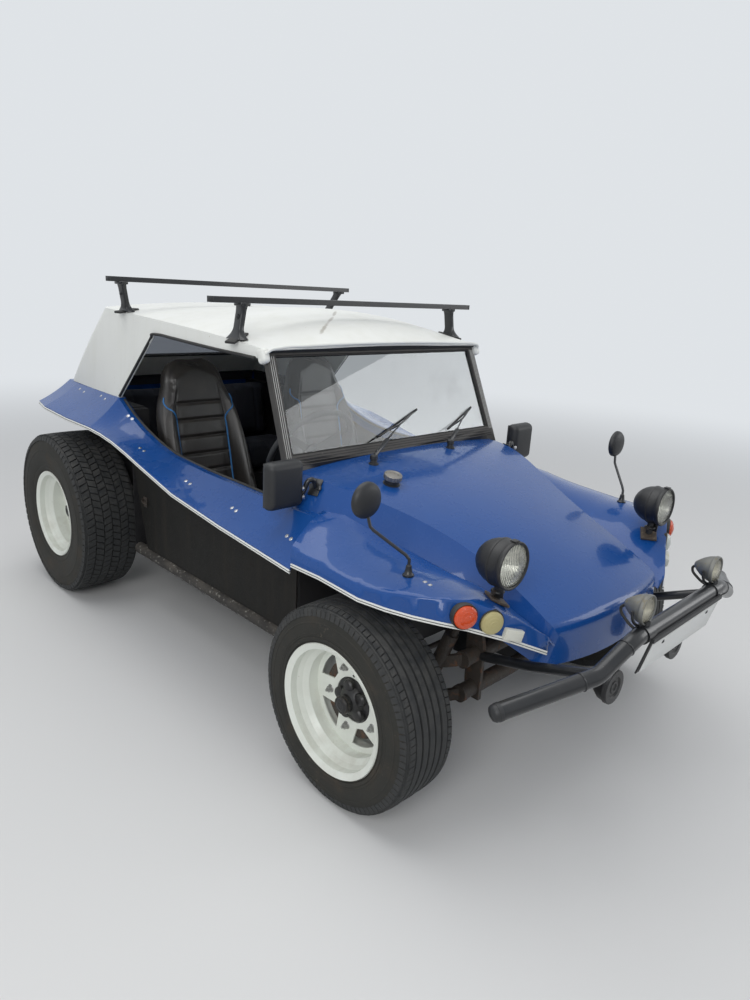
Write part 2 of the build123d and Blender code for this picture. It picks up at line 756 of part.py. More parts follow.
arm_width = 14.0
arm_height = 36.0
eye_radius = 27.0
eye_length = 16.0
joint_radius = 18.0
joint_height = 22.0
damper_radius = 22.0
damper_low = (474, back(-95), 300)
damper_high = (446, back(-172), 535)
damper_eye = (440, back(-190), 570)
joint_clear = 12.0
arm_rows = [
    (beam_low_z, kingpin_low - joint_height - 1.0),
    (beam_high_z, kingpin_high + 1.0),
]
arm_solids = []
for beam_z, joint_z in arm_rows:
    joint_middle = joint_z + joint_height / 2
    eye_middle = (beam_half + seat_gap + eye_length / 2, back(beam_distance), beam_z)
    with BuildPart() as arm:
        add(rod((beam_half, back(beam_distance), beam_z),
                (beam_half + eye_length, back(beam_distance), beam_z), eye_radius))
        add(bar(eye_middle, (kingpin_x, back(0), joint_middle), arm_width, arm_height))
        add(rod((kingpin_x, back(0), joint_z), (kingpin_x, back(0), joint_z + joint_height), joint_radius))
        with BuildSketch(Plane.XY.offset(joint_z + joint_height)):
            with Locations((kingpin_x, back(0))):
                Circle(joint_radius + joint_clear)
        extrude(amount=30, mode=Mode.SUBTRACT)
        with BuildSketch(Plane.XY.offset(joint_z - 30)):
            with Locations((kingpin_x, back(0))):
                Circle(joint_radius + joint_clear)
        extrude(amount=30, mode=Mode.SUBTRACT)
        with BuildSketch(Plane.XY.offset(joint_z - 20)):
            with Locations((kingpin_x, back(0))):
                Circle(kingpin_radius + running)
        extrude(amount=joint_height + 40, mode=Mode.SUBTRACT)
        if beam_z == beam_low_z:
            add(rod(damper_low, damper_high, damper_radius))
            add(rod(damper_low, damper_eye, damper_radius / 2))
            add(rod((tower_x + tower_thickness, damper_eye[1], damper_eye[2]), damper_eye, 14))
    arm_solids.append(arm.part)
with BuildPart() as front_arms:
    for arm_solid in arm_solids:
        for piece in side_pair(arm_solid):
            add(piece)
front_arms.part.label = "front_arms"
export_step(front_arms.part, "parts/front_arms.step")

# Steering knuckles: kingpin, stub axle, backing plate and steering arm.
stub_radius = 24.0
spindle_reach = 24.0            # the spindle ends this far outside the wheel's middle
stub_end = front_wheel_x + spindle_reach
front_drum_in = 600.0
front_drum_radius = 122.0
backing_sheet = 5.0
arm_plate = 12.0
with BuildPart() as knuckle:
    add(rod((kingpin_x, back(0), kingpin_low), (kingpin_x, back(0), kingpin_high), 22))
    add(rod((kingpin_x, back(0), kingpin_low - joint_height - 8),
            (kingpin_x, back(0), kingpin_high + joint_height + 8), kingpin_radius))
    add(rod((kingpin_x, back(0), front_tyre_radius), (front_drum_in - 5, back(0), front_tyre_radius),
            stub_radius))
    add(rod((kingpin_x, back(0), front_tyre_radius), (stub_end, back(0), front_tyre_radius),
            spindle_radius))
    add(rod((front_drum_in - 5 - backing_sheet, back(0), front_tyre_radius),
            (front_drum_in - 5, back(0), front_tyre_radius), front_drum_radius - 6))
    add(bar((kingpin_x, back(0), steering_arm_z + arm_plate / 2),
            (steering_arm_x, back(steering_arm), steering_arm_z + arm_plate / 2), 26, arm_plate))
    add(rod((steering_arm_x, back(steering_arm), steering_arm_z),
            (steering_arm_x, back(steering_arm), steering_arm_z + arm_plate), 16))
for name, piece in zip(("knuckle_left", "knuckle_right"), side_pair(knuckle.part)):
    with BuildPart() as knuckle_side:
        add(piece)
    knuckle_side.part.label = name
    export_step(knuckle_side.part, "parts/" + name + ".step")

tie_disc_radius = 22.0
tie_disc_height = 8.0
tie_gap = 0.5
tie_radius = 9.0
tie_top = steering_arm_z - tie_gap
with BuildPart() as tie_rod:
    add(rod((-steering_arm_x, back(steering_arm), tie_top - tie_disc_height / 2 - 4),
            (steering_arm_x, back(steering_arm), tie_top - tie_disc_height / 2 - 4), tie_radius))
    for side in (-1, 1):
        add(rod((side * steering_arm_x, back(steering_arm), tie_top - tie_disc_height),
                (side * steering_arm_x, back(steering_arm), tie_top), tie_disc_radius))
    add(slab((-600, 600), (steering_arm - 60, steering_arm + 60), (tie_top, tie_top + 40)),
        mode=Mode.SUBTRACT)
tie_rod.part.label = "tie_rod"
export_step(tie_rod.part, "parts/tie_rod.step")

rear_drum_in = 524.0
rear_drum_radius = 132.0

# Wheels: rim, tyre and brake drum, revolved about each axle and mirrored to the other side.
# Columns: name, distance, axle height, wheel x, rim width, tyre width, tyre radius, drum x, drum radius
wheel_rows = [
    ("front", 0.0, front_tyre_radius, front_wheel_x, front_rim_width, front_tyre_width,
     front_tyre_radius, front_drum_in, front_drum_radius),
    ("rear", wheelbase, rear_tyre_radius, rear_wheel_x, rear_rim_width, rear_tyre_width,
     rear_tyre_radius, rear_drum_in, rear_drum_radius),
]
tread_drop = 14.0


def export_both(stem, piece):
    """Write a left piece and its mirror image as two nodes."""
    for side_name, copy in zip(("_left", "_right"), side_pair(piece)):
        with BuildPart() as node:
            add(copy)
        node.part.label = stem + side_name
        export_step(node.part, "parts/" + stem + side_name + ".step")


for stem, distance, axle_z, wheel_x, rim_width, tyre_width, tyre_radius, drum_x, drum_radius in wheel_rows:
    axle_plane = Plane(origin=(wheel_x, back(distance), axle_z), x_dir=(1, 0, 0), z_dir=(0, -1, 0))
    axle = Axis((wheel_x, back(distance), axle_z), (1, 0, 0))
    disc_plane = Plane(origin=(wheel_x, back(distance), axle_z), x_dir=(0, 1, 0), z_dir=(1, 0, 0))
    half = rim_width / 2
    barrel = [(-half, flange_radius), (-half + 8, bead_radius), (-half + 36, bead_radius),
              (-half + 52, well_radius), (half - 64, well_radius), (half - 48, bead_radius - 8),
              (half - 30, bead_radius), (half - 8, bead_radius), (half, flange_radius)]
    with BuildPart() as rim:
        with BuildSketch(axle_plane):
            with BuildLine():
                Polyline(*barrel, *reversed(inset_points(barrel, rim_wall)), close=True)
            make_face()
        revolve(axis=axle)
        with BuildSketch(disc_plane.offset(-disc_wall / 2)):
            Circle(well_radius - 1)
            Circle(disc_hole_radius, mode=Mode.SUBTRACT)
        extrude(amount=disc_wall)
        with BuildSketch(disc_plane.offset(-20)):
            for i in range(window_count):
                middle = radians(360.0 * i / window_count + window_turn)
                spread = radians(window_outer_angle)
                narrow = radians(window_inner_angle)
                outer = [(window_outer_radius * cos(middle + a), window_outer_radius * sin(middle + a))
                         for a in (-spread, 0, spread)]
                inner = [(window_inner_radius * cos(middle + a), window_inner_radius * sin(middle + a))
                         for a in (narrow, -narrow)]
                with BuildLine():
                    ThreePointArc(*outer)
                    Polyline(outer[2], inner[0], inner[1], outer[0])
                make_face()
        extrude(amount=40, mode=Mode.SUBTRACT)
    export_both(stem + "_rim", rim.part)
    crown = tyre_width / 2 - 18
    sidewall = tyre_width / 2
    shoulder_r = tyre_radius - tread_drop
    bulge_r = (flange_radius + shoulder_r) / 2
    low_r = bead_radius + seat_gap
    with BuildPart() as tyre:
        with BuildSketch(axle_plane):
            with BuildLine():
                low_in = (-half + 9, low_r)
                low_out = (half - 9, low_r)
                bead_in = (-half - 1, flange_radius + 3)
                bead_out = (half + 1, flange_radius + 3)
                Line(low_in, low_out)
                Line(low_out, bead_out)
                ThreePointArc(bead_out, (sidewall, bulge_r), (crown + 8, shoulder_r))
                Line((crown + 8, shoulder_r), (crown, tyre_radius - 3))
                ThreePointArc((crown, tyre_radius - 3), (0, tyre_radius), (-crown, tyre_radius - 3))
                Line((-crown, tyre_radius - 3), (-crown - 8, shoulder_r))
                ThreePointArc((-crown - 8, shoulder_r), (-sidewall, bulge_r), bead_in)
                Line(bead_in, low_in)
            make_face()
        revolve(axis=axle)
        add(rim.part, mode=Mode.SUBTRACT)
    export_both(stem + "_tyre", tyre.part)
    face_x = wheel_x - disc_wall / 2
    with BuildPart() as drum:
        add(rod((drum_x, back(distance), axle_z), (face_x, back(distance), axle_z), drum_radius))
        add(rod((drum_x, back(distance), axle_z), (wheel_x + hub_cap_reach, back(distance), axle_z),
                hub_cap_radius))
        add(rod((drum_x - 5, back(distance), axle_z), (drum_x + 30, back(distance), axle_z),
                drum_radius - 8, 40), mode=Mode.SUBTRACT)
        add(rod((drum_x - 5, back(distance), axle_z), (wheel_x + 26, back(distance), axle_z),
                spindle_radius + running), mode=Mode.SUBTRACT)
    export_both(stem + "_drum", drum.part)

# Transaxle, swing axles and the engine that hangs behind them.
torsion_distance = floor_back + 50.0
# Columns: distance, width, height, corner radius
gearbox_sections = [
    (torsion_distance + 10, 130, 130, 30),
    (wheelbase - 72, 190, 190, 60),
    (wheelbase + 78, 210, 210, 90),
    (engine_front, 290, 280, 130),
]
with BuildPart() as gearbox:
    for distance, width, height, corner in gearbox_sections:
        with BuildSketch(across(distance)):
            with Locations((0, rear_tyre_radius)):
                RectangleRounded(width, height, corner)
    loft(ruled=True)
gearbox.part.label = "gearbox"
export_step(gearbox.part, "parts/gearbox.step")

torsion_radius = 38.0
plate_x = tub_half - 25.0       # the spring plates that lead the swing axles
axle_inner_x = 60.0
rear_drum_gap = 5.0
housing_end = rear_drum_in - rear_drum_gap
with BuildPart() as rear_axle:
    add(rod((axle_inner_x, back(wheelbase), rear_tyre_radius),
            (housing_end, back(wheelbase), rear_tyre_radius), 34))
    add(rod((axle_inner_x, back(wheelbase), rear_tyre_radius),
            (rear_wheel_x + spindle_reach - 6, back(wheelbase), rear_tyre_radius), spindle_radius))
    add(rod((housing_end - backing_sheet, back(wheelbase), rear_tyre_radius),
            (housing_end, back(wheelbase), rear_tyre_radius), rear_drum_radius - 6))
    add(bar((plate_x, back(torsion_distance), rear_tyre_radius + 5),
            (plate_x, back(wheelbase - 10), rear_tyre_radius), 8, 90))
    add(rod((450, back(wheelbase + 30), rear_tyre_radius - 30), (440, back(wheelbase + 56), 530), 22))
with BuildPart() as rear_suspension:
    for piece in side_pair(rear_axle.part):
        add(piece)
    add(rod((-plate_x - 10, back(torsion_distance), rear_tyre_radius),
            (plate_x + 10, back(torsion_distance), rear_tyre_radius), torsion_radius))
    add(slab((-300, 300), (floor_back + sheet, torsion_distance),
             (rear_tyre_radius - 35, rear_tyre_radius + 35)))
    add(gearbox.part, mode=Mode.SUBTRACT)
rear_suspension.part.label = "rear_suspension"
export_step(rear_suspension.part, "parts/rear_suspension.step")

case_back = engine_front + 284.0
cylinder_radius = 44.0
cylinder_distances = [engine_front + 80, engine_front + 195]
fin_count = 5
fin_pitch = 28.0
with BuildPart() as engine_case:
    with BuildSketch(across(engine_front)):
        with Locations((0, rear_tyre_radius - 10)):
            RectangleRounded(240, 260, 50)
    extrude(amount=-(case_back - engine_front))
    for side in (-1, 1):
        for distance in cylinder_distances:
            add(rod((side * 100, back(distance), rear_tyre_radius),
                    (side * 330, back(distance), rear_tyre_radius), cylinder_radius))
            for i in range(fin_count):
                fin_x = side * (140 + fin_pitch * i)
                add(rod((fin_x, back(distance), rear_tyre_radius),
                        (fin_x + side * 8, back(distance), rear_tyre_radius), cylinder_radius + 11))
        add(slab(sorted((side * 290, side * 375)), (engine_front + 20, engine_front + 255),
                 (rear_tyre_radius - 55, rear_tyre_radius + 55)))
engine_case.part.label = "engine_case"
export_step(engine_case.part, "parts/engine_case.step")

case_top = rear_tyre_radius - 10 + 130
shroud_front = engine_front + 94.0
shroud_depth = 110.0
shroud_low = rear_tyre_radius + 130.0
shroud_top = 830.0
fan_z = 700.0
fan_back = case_back + 40.0
with BuildPart() as fan_shroud:
    with BuildSketch(across(shroud_front + shroud_depth)):
        with BuildLine():
            Polyline((-300, shroud_low), (300, shroud_low))
            Line((300, shroud_low), (300, 640))
            ThreePointArc((300, 640), (235, 780), (90, shroud_top))
            Line((90, shroud_top), (-90, shroud_top))
            ThreePointArc((-90, shroud_top), (-235, 780), (-300, 640))
            Line((-300, 640), (-300, shroud_low))
        make_face()
    extrude(amount=shroud_depth)
    add(slab((-45, 45), (shroud_front + 20, shroud_front + shroud_depth - 20),
             (case_top, shroud_low + 2)))
    add(rod((0, back(shroud_front + shroud_depth - 1), fan_z), (0, back(fan_back), fan_z), 58))
    add(rod((0, back(fan_back - 1), fan_z), (0, back(fan_back + 30), fan_z), 72))
    add(rod((0, back(case_back), rear_tyre_radius), (0, back(fan_back + 15), rear_tyre_radius), 84))
    add(slab((-30, 30), (case_back - 50, case_back), (case_top, fan_z)))
fan_shroud.part.label = "fan_shroud"
export_step(fan_shroud.part, "parts/fan_shroud.step")

muffler_distance = case_back + 54.0
muffler_z = 246.0
pipe_x = 308.0
with BuildPart() as exhaust:
    add(rod((-290, back(muffler_distance), muffler_z), (290, back(muffler_distance), muffler_z), 46))
    for side in (-1, 1):
        add(bent_tube([(side * pipe_x, back(engine_front + 220), rear_tyre_radius - 55),
                       (side * pipe_x, back(engine_front + 220), muffler_z),
                       (side * 262, back(muffler_distance), muffler_z)], 20, 24))
        add(rod((side * 110, back(muffler_distance), muffler_z),
                (side * 110, back(muffler_distance + 58), muffler_z - 20), 17))
exhaust.part.label = "exhaust"
export_step(exhaust.part, "parts/exhaust.step")

# Lamps: two bowls on brackets above the fenders, two spot lamps on the bumper, and small lamps.
head_lamp = (462.0, -358.0, 820.0)
spot_lamp = (232.0, -639.0, 731.0)
lens_gap = 0.3


def place(spot):
    """The row position of a place given as x, distance behind the front axle, and height."""
    return Vector(spot[0], back(spot[1]), spot[2])


def lamp_bowl(spot, profile):
    """A lamp shell turned about a level axis: profile columns are distance behind the lens and radius."""
    centre = place(spot)
    with BuildPart() as bowl:
        with BuildSketch(Plane(origin=centre, x_dir=(0, 1, 0), z_dir=(0, 0, 1))):
            with BuildLine():
                Polyline(*profile)
                Polyline(profile[-1], (profile[-1][0], 0), (profile[0][0], 0), profile[0])
            make_face()
        revolve(axis=Axis(centre, (0, 1, 0)))
    return bowl.part


head_profile = [(-12, 69), (2, 69), (5, 65), (28, 67), (54, 62), (76, 50), (92, 34), (100, 18), (103, 7)]
spot_profile = [(-13, 43), (0, 43), (4, 40), (16, 36), (30, 28), (46, 15), (54, 6)]
lens_bowls = [
    (head_lamp, head_profile, 60.0, 10.0),
    (spot_lamp, spot_profile, 37.0, 8.0),
]
shell_solids = []
lens_solids = []
for spot, profile, lens_radius, lens_depth in lens_bowls:
    centre = place(spot)
    front = centre + Vector(0, profile[0][0] - 1, 0)
    recess = centre + Vector(0, profile[0][0] + lens_depth, 0)
    with BuildPart() as shell:
        add(lamp_bowl(spot, profile))
        add(rod(front, recess, lens_radius), mode=Mode.SUBTRACT)
    shell_solids.append(shell.part)
    with BuildPart() as lens:
        with BuildSketch(Plane(origin=centre, x_dir=(0, 1, 0), z_dir=(0, 0, 1))):
            with BuildLine():
                inner_y = profile[0][0] + lens_depth
                rim_y = profile[0][0] + 2
                dome_y = profile[0][0] - lens_depth * 0.6
                Polyline((dome_y, 0), (inner_y, 0), (inner_y, lens_radius - lens_gap),
                         (rim_y, lens_radius - lens_gap))
                TangentArc((dome_y, 0), (rim_y, lens_radius - lens_gap), tangent=(0, 1))
            make_face()
        revolve(axis=Axis(centre, (0, 1, 0)))
    lens_solids.append(lens.part)

head_bowl = lamp_bowl(head_lamp, head_profile)
with BuildPart() as head_stem:
    add(rod(place((head_lamp[0], -325, 640)), place((head_lamp[0], -325, 770)), 14))
    add(slab((head_lamp[0] - 20, head_lamp[0] + 20), (-355, -295), (640, 722)))
    add(head_bowl, mode=Mode.SUBTRACT)
    add(fender_piece, mode=Mode.SUBTRACT)
    add(bonnet_outside, mode=Mode.SUBTRACT)
stem_solid = head_stem.solids().sort_by(Axis.Z)[-1].moved(Location((0, 0, seat_gap)))
with BuildPart() as lamp_lenses:
    for lens_solid in lens_solids:
        for piece in side_pair(lens_solid):
            add(piece)
lamp_lenses.part.label = "lamp_lenses"
export_step(lamp_lenses.part, "parts/lamp_lenses.step")

face_out = Vector(0.44, -0.898, 0).normalized()
fender_ahead = fender_piece.moved(Location((face_out.X * seat_gap, face_out.Y * seat_gap, 0)))


def face_lamp(spot, radius, proud, sunk):
    """A round lamp on the fender's front face, its back cut to the lip."""
    centre = place(spot)
    with BuildPart() as lamp:
        add(rod(centre - face_out * sunk, centre + face_out * proud, radius))
        fillet(lamp.faces().sort_by(Axis(centre, face_out))[-1].edges(), radius=min(10, proud))
        add(fender_piece, mode=Mode.SUBTRACT)
        add(fender_ahead, mode=Mode.SUBTRACT)
    return lamp.solids().sort_by(Axis(centre, face_out))[-1]


orange_lamp = face_lamp((607, -331, 702), 36.0, 16.0, 26.0)
pale_lamp = face_lamp((527, -360, 673), 36.0, 16.0, 30.0)
with BuildPart() as reflector:
    centre = place((466, -394, 630))
    with BuildSketch(Plane(origin=centre - face_out * 24, x_dir=(0.898, 0.44, 0), z_dir=face_out)):
        Rectangle(60, 34)
    extrude(amount=34)
    add(fender_piece, mode=Mode.SUBTRACT)
    add(fender_ahead, mode=Mode.SUBTRACT)
reflector_piece = reflector.solids().sort_by(Axis(centre, face_out))[-1]
with BuildPart() as indicator_lamps:
    for piece in side_pair(orange_lamp):
        add(piece)
indicator_lamps.part.label = "indicator_lamps"
export_step(indicator_lamps.part, "parts/indicator_lamps.step")
with BuildPart() as side_lamps:
    for piece in side_pair(pale_lamp) + side_pair(reflector_piece):
        add(piece)
side_lamps.part.label = "side_lamps"
export_step(side_lamps.part, "parts/side_lamps.step")

tail_lamp_x = 470.0
tail_lamp_z = 905.0
tail_lamp_depth = 34.0
with BuildPart() as tail_lamps:
    for side in (-1, 1):
        for x, radius in ((tail_lamp_x, 40.0), (tail_lamp_x - 95, 34.0)):
            add(rod((side * x, back(body_back), tail_lamp_z),
                    (side * x, back(body_back + tail_lamp_depth), tail_lamp_z), radius))
tail_lamps.part.label = "tail_lamps"
export_step(tail_lamps.part, "parts/tail_lamps.step")

# Front bumper: a stepped tube on two stays, with the plate's blank holder under its middle.
bumper_z = 663.0
bumper_mid = -650.0
bumper_half = [(285, back(bumper_mid), bumper_z), (430, back(-632), 598), (692, back(-521), 547)]
bumper_points = [(-x, y, z) for x, y, z in reversed(bumper_half)] + bumper_half
tube_radius = 23.0
bumper_tube = bent_tube(bumper_points, tube_radius, 90)
stay_x = tower_x + tower_thickness / 2
stay_points = [(stay_x, back(beam_distance - 26), beam_high_z), (stay_x + 20, back(-420), 514),
               (424, back(-626), 597)]
stay = bent_tube(stay_points, 15, 80)
with BuildPart() as front_bumper:
    add(bumper_tube)
    for piece in side_pair(stay):
        add(piece)
    add(front_beam.part, mode=Mode.SUBTRACT)
front_bumper.part.label = "front_bumper"
export_step(front_bumper.part, "parts/front_bumper.step")

spot_stem = rod(place((spot_lamp[0], bumper_mid, bumper_z)),
                place((spot_lamp[0], bumper_mid, spot_lamp[2] - 39)), 9)
with BuildPart() as spot_foot:
    add(spot_stem)
    add(rod(place((spot_lamp[0] - 20, bumper_mid, bumper_z)),
            place((spot_lamp[0] + 20, bumper_mid, bumper_z)), tube_radius + 3))
    add(rod(place((spot_lamp[0] - 30, bumper_mid, bumper_z)),
            place((spot_lamp[0] + 30, bumper_mid, bumper_z)), tube_radius + seat_gap),
        mode=Mode.SUBTRACT)
    add(slab((spot_lamp[0] - 40, spot_lamp[0] + 40), (bumper_mid - 40, bumper_mid + 40),
             (bumper_z - 60, bumper_z - 2)), mode=Mode.SUBTRACT)
    add(rod(place((spot_lamp[0], bumper_mid - 40, spot_lamp[2])),
            place((spot_lamp[0], spot_lamp[1] + spot_profile[0][0] + 8, spot_lamp[2])), 37.0),
        mode=Mode.SUBTRACT)
    add(shell_solids[1])
with BuildPart() as lamp_shells:
    for piece in side_pair(shell_solids[0]) + side_pair(stem_solid) + side_pair(spot_foot.part):
        add(piece)
lamp_shells.part.label = "lamp_shells"
export_step(lamp_shells.part, "parts/lamp_shells.step")

# The plate's top edge leans on the front of the bumper tube, under a folded channel.
plate_width = 470.0
plate_sheet = 4.0
plate_low = (-648.0, 540.0)
plate_high = (bumper_mid - tube_radius - plate_sheet, 657.0)
channel_lip = 5.0
channel_height = 12.0
plate_front = back(plate_high[0])
with BuildPart() as plate_holder:
    with BuildSketch(along(-plate_width / 2)):
        with BuildLine():
            Polyline((back(plate_low[0]), plate_low[1]), (plate_front, plate_high[1] - channel_height),
                     (plate_front - channel_lip, plate_high[1] - channel_height),
                     (plate_front - channel_lip, plate_high[1]),
                     (plate_front + plate_sheet, plate_high[1]),
                     (back(plate_low[0]) + plate_sheet, plate_low[1]), close=True)
        make_face()
    extrude(amount=plate_width)
    add(rod(place((-plate_width, bumper_mid, bumper_z)), place((plate_width, bumper_mid, bumper_z)),
            tube_radius + seat_gap), mode=Mode.SUBTRACT)
plate_holder.part.label = "plate_holder"
export_step(plate_holder.part, "parts/plate_holder.step")

# Horns: two round bells that hang on straps behind the plate.
horn = (205.0, -575.0, 455.0)
horn_profile = [(-10, 52), (4, 52), (8, 49), (24, 46), (40, 34), (48, 14)]
strap_radius = 7.0
with BuildPart() as horn_left:
    add(rod(place((horn[0], bumper_mid + 16, bumper_z - 4)), place((horn[0], horn[1] + 6, horn[2] + 30)),
            strap_radius))
    add(rod(place((horn[0] - 20, bumper_mid, bumper_z)), place((horn[0] + 20, bumper_mid, bumper_z)),
            tube_radius + seat_gap), mode=Mode.SUBTRACT)
    add(lamp_bowl(horn, horn_profile))
with BuildPart() as horns:
    for piece in side_pair(horn_left.part):
        add(piece)
horns.part.label = "horns"
export_step(horns.part, "parts/horns.step")

# Rear bumper: a tube hoop round the engine, fixed to the swing-axle housing's frame forks.
hoop_x = 378.0
hoop_low = 300.0
hoop_high = 470.0
hoop_rise = case_back - 15.0
hoop_half = [(hoop_x, back(torsion_distance), rear_tyre_radius - 40),
             (hoop_x, back(torsion_distance + 90), hoop_low),
             (hoop_x, back(hoop_rise), hoop_low), (hoop_x + 24, back(rear_bumper_back), hoop_high)]
hoop_points = hoop_half + [(-x, y, z) for x, y, z in reversed(hoop_half)]
rear_hoop = bent_tube(hoop_points, rear_bumper_radius, 50)
with BuildPart() as rear_bumper:
    add(rear_hoop)
    add(rear_suspension.part, mode=Mode.SUBTRACT)
rear_bumper.part.label = "rear_bumper"
export_step(rear_bumper.part, "parts/rear_bumper.step")

# Mirrors: square ones by the screen pillars and round ones on stalks on the fenders.
with BuildPart() as square_mirror:
    with BuildSketch(across(392 + 28)):
        with Locations((650, 895)):
            RectangleRounded(140, 160, 22)
    extrude(amount=56)
    fillet(square_mirror.faces().sort_by(Axis.Y)[0].edges(), radius=16)
    add(rod((600, back(392), 862), (530, back(372), 820), 12))
    add(bonnet_outside, mode=Mode.SUBTRACT)
square_piece = square_mirror.solids().sort_by(SortBy.VOLUME)[-1]
square_piece = square_piece.moved(Location((seat_gap, 0, seat_gap)))
mirror_head = (697.0, -38.0, 960.0)
mirror_radius = 52.0
# The stalk's bends: x, distance, height
mirror_stalk = [(616, -132, 700), (616, -132, 802), (688, -46, 884), (697, -36, 930)]
with BuildPart() as round_mirror:
    with BuildSketch(across(mirror_head[1] + 12)):
        with Locations((mirror_head[0], mirror_head[2])):
            Circle(mirror_radius)
    extrude(amount=26)
    fillet(round_mirror.faces().sort_by(Axis.Y)[0].edges(), radius=14)
    add(bent_tube([place(spot) for spot in mirror_stalk], 5, 12))
    add(rod(place(mirror_stalk[0]), place((616, -132, 766)), 14))
    add(fender_piece, mode=Mode.SUBTRACT)
round_piece = round_mirror.solids().sort_by(SortBy.VOLUME)[-1].moved(Location((0, 0, seat_gap)))
with BuildPart() as mirrors:
    for piece in side_pair(square_piece) + side_pair(round_piece):
        add(piece)
mirrors.part.label = "mirrors"
export_step(mirrors.part, "parts/mirrors.step")

# Wipers: a boss on the cowl, an arm and a blade that lies on the glass.
glass_setback = (screen_thickness - glass_thickness) / 2


def on_glass(x, z, stand_off):
    """A point in front of the glass at this height."""
    distance = screen_foot + (z - screen_foot_z) * tan(radians(screen_rake)) + glass_setback - stand_off
    return (x, back(distance), z)


# Columns: pivot x, pivot distance, then x and height of the blade's two ends
wiper_rows = [
    (-253.0, 393.0, -125.0, 975.0, 120.0, 1056.0),
    (190.0, 410.0, 276.0, 966.0, 459.0, 1040.0),
]
blade_radius = 6.0
wiper_solids = []
for x, distance, start_x, start_z, end_x, end_z in wiper_rows:
    middle_x = (start_x + end_x) / 2
    middle_z = (start_z + end_z) / 2
    middle = on_glass(middle_x, middle_z, blade_radius + 12)
    with BuildPart() as wiper:
        add(rod((x, back(distance), 860), (x, back(distance), 926), 15))
        add(rod((x, back(distance), 918), middle, 6))
        add(rod(on_glass(start_x, start_z, blade_radius + 1), on_glass(end_x, end_z, blade_radius + 1),
                blade_radius))
        add(rod(on_glass(middle_x, middle_z, 6), middle, 6))
        add(bonnet_outside, mode=Mode.SUBTRACT)
        add(bonnet_inside, mode=Mode.SUBTRACT)
    solid = wiper.solids().sort_by(SortBy.VOLUME)[-1]
    wiper_solids.append(solid.moved(Location((0, 0, seat_gap))))
with BuildPart() as wipers:
    for solid in wiper_solids:
        add(solid)
wipers.part.label = "wipers"
export_step(wipers.part, "parts/wipers.step")

cap_x = -312.0
cap_y = back(243)
with BuildPart() as fuel_cap:
    add(rod((cap_x, cap_y, 840), (cap_x, cap_y, 888), 26))
    add(rod((cap_x, cap_y, 882), (cap_x, cap_y, 902), 32))
    add(bonnet_outside, mode=Mode.SUBTRACT)
    add(bonnet_inside, mode=Mode.SUBTRACT)
cap_solid = fuel_cap.solids().sort_by(Axis.Z)[-1].moved(Location((0, 0, seat_gap)))
with BuildPart() as fuel_cap:
    add(cap_solid)
fuel_cap.part.label = "fuel_cap"
export_step(fuel_cap.part, "parts/fuel_cap.step")

# Gear lever and handbrake on the tunnel.
tunnel_top = floor_z + tunnel_height
with BuildPart() as floor_controls:
    add(rod((0, back(790), tunnel_top), (0, back(790), tunnel_top + 40), 26))
    add(rod((0, back(790), tunnel_top + 30), (0, back(860), 690), 7))
    add(rod((0, back(860), 690), (0, back(866), 722), 20))
    add(slab((-22, 22), (930, 1030), (tunnel_top, tunnel_top + 34)))
    add(rod((0, back(1000), tunnel_top + 24), (0, back(800 + 50), 610), 8))
floor_controls.part.label = "floor_controls"
export_step(floor_controls.part, "parts/floor_controls.step")
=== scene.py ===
# %% [markdown]
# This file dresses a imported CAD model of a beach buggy: a moulded blue body with a white hardtop on a
# short car chassis. The CAD pieces come in as a fixed frame in metres: Z is up, the nose points along -Y
# and the car's right side is -X. Each later cell adds one piece or one finish, and says why it is made so.

# %% Load the frame
import bmesh
import bpy
from math import atan2, cos, hypot, pi, radians, sin
from mathutils import Matrix, Vector


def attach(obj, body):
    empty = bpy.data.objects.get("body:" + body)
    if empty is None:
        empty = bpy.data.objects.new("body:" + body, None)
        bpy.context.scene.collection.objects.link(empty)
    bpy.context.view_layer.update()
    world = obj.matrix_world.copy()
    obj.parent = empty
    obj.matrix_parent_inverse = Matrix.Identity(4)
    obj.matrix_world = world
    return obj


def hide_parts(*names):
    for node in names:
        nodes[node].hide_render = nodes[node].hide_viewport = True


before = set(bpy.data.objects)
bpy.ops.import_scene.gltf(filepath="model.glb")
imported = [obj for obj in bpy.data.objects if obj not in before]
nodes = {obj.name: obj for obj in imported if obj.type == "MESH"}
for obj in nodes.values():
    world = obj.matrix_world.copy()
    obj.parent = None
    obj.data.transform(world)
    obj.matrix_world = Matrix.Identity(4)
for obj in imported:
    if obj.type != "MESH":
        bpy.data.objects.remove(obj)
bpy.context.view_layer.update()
scene = bpy.context.scene

# %% [markdown]
# The camera stands where the photographer stood, a little above eye height at the right front corner.
# A camera looks along its own -Z, so its matrix is built from three directions: to the right, up, and
# back. The lens is short, as on a phone, which is why the near front wheel looks so large.

# %% Camera
front_axle = -0.97
photo_width, photo_height = 750, 1000


def spot(x, distance, z):
    """A place in metres from millimetres across, behind the front axle, and up."""
    return Vector((x / 1000, front_axle + distance / 1000, z / 1000))


camera_data = bpy.data.cameras.new("photo_view")
camera_data.lens = 25.56
camera = bpy.data.objects.new("photo_view", camera_data)
scene.collection.objects.link(camera)
yaw, pitch, roll = radians(45.14), radians(16.67), radians(3.21)
ahead = Vector((sin(yaw) * cos(pitch), cos(yaw) * cos(pitch), -sin(pitch)))
level = Vector((cos(yaw), -sin(yaw), 0))
above = level.cross(ahead)
view_right = level * cos(roll) + above * sin(roll)
view_up = above * cos(roll) - level * sin(roll)
turn = Matrix((view_right, view_up, -ahead)).transposed()
eye = spot(-1985.9, -1349.1, 1513.6)
camera.matrix_world = Matrix.Translation(eye) @ turn.to_4x4()
scene.camera = camera
focal_pixels = camera_data.lens / 36 * photo_height
print("camera at", [round(v, 3) for v in camera.location])

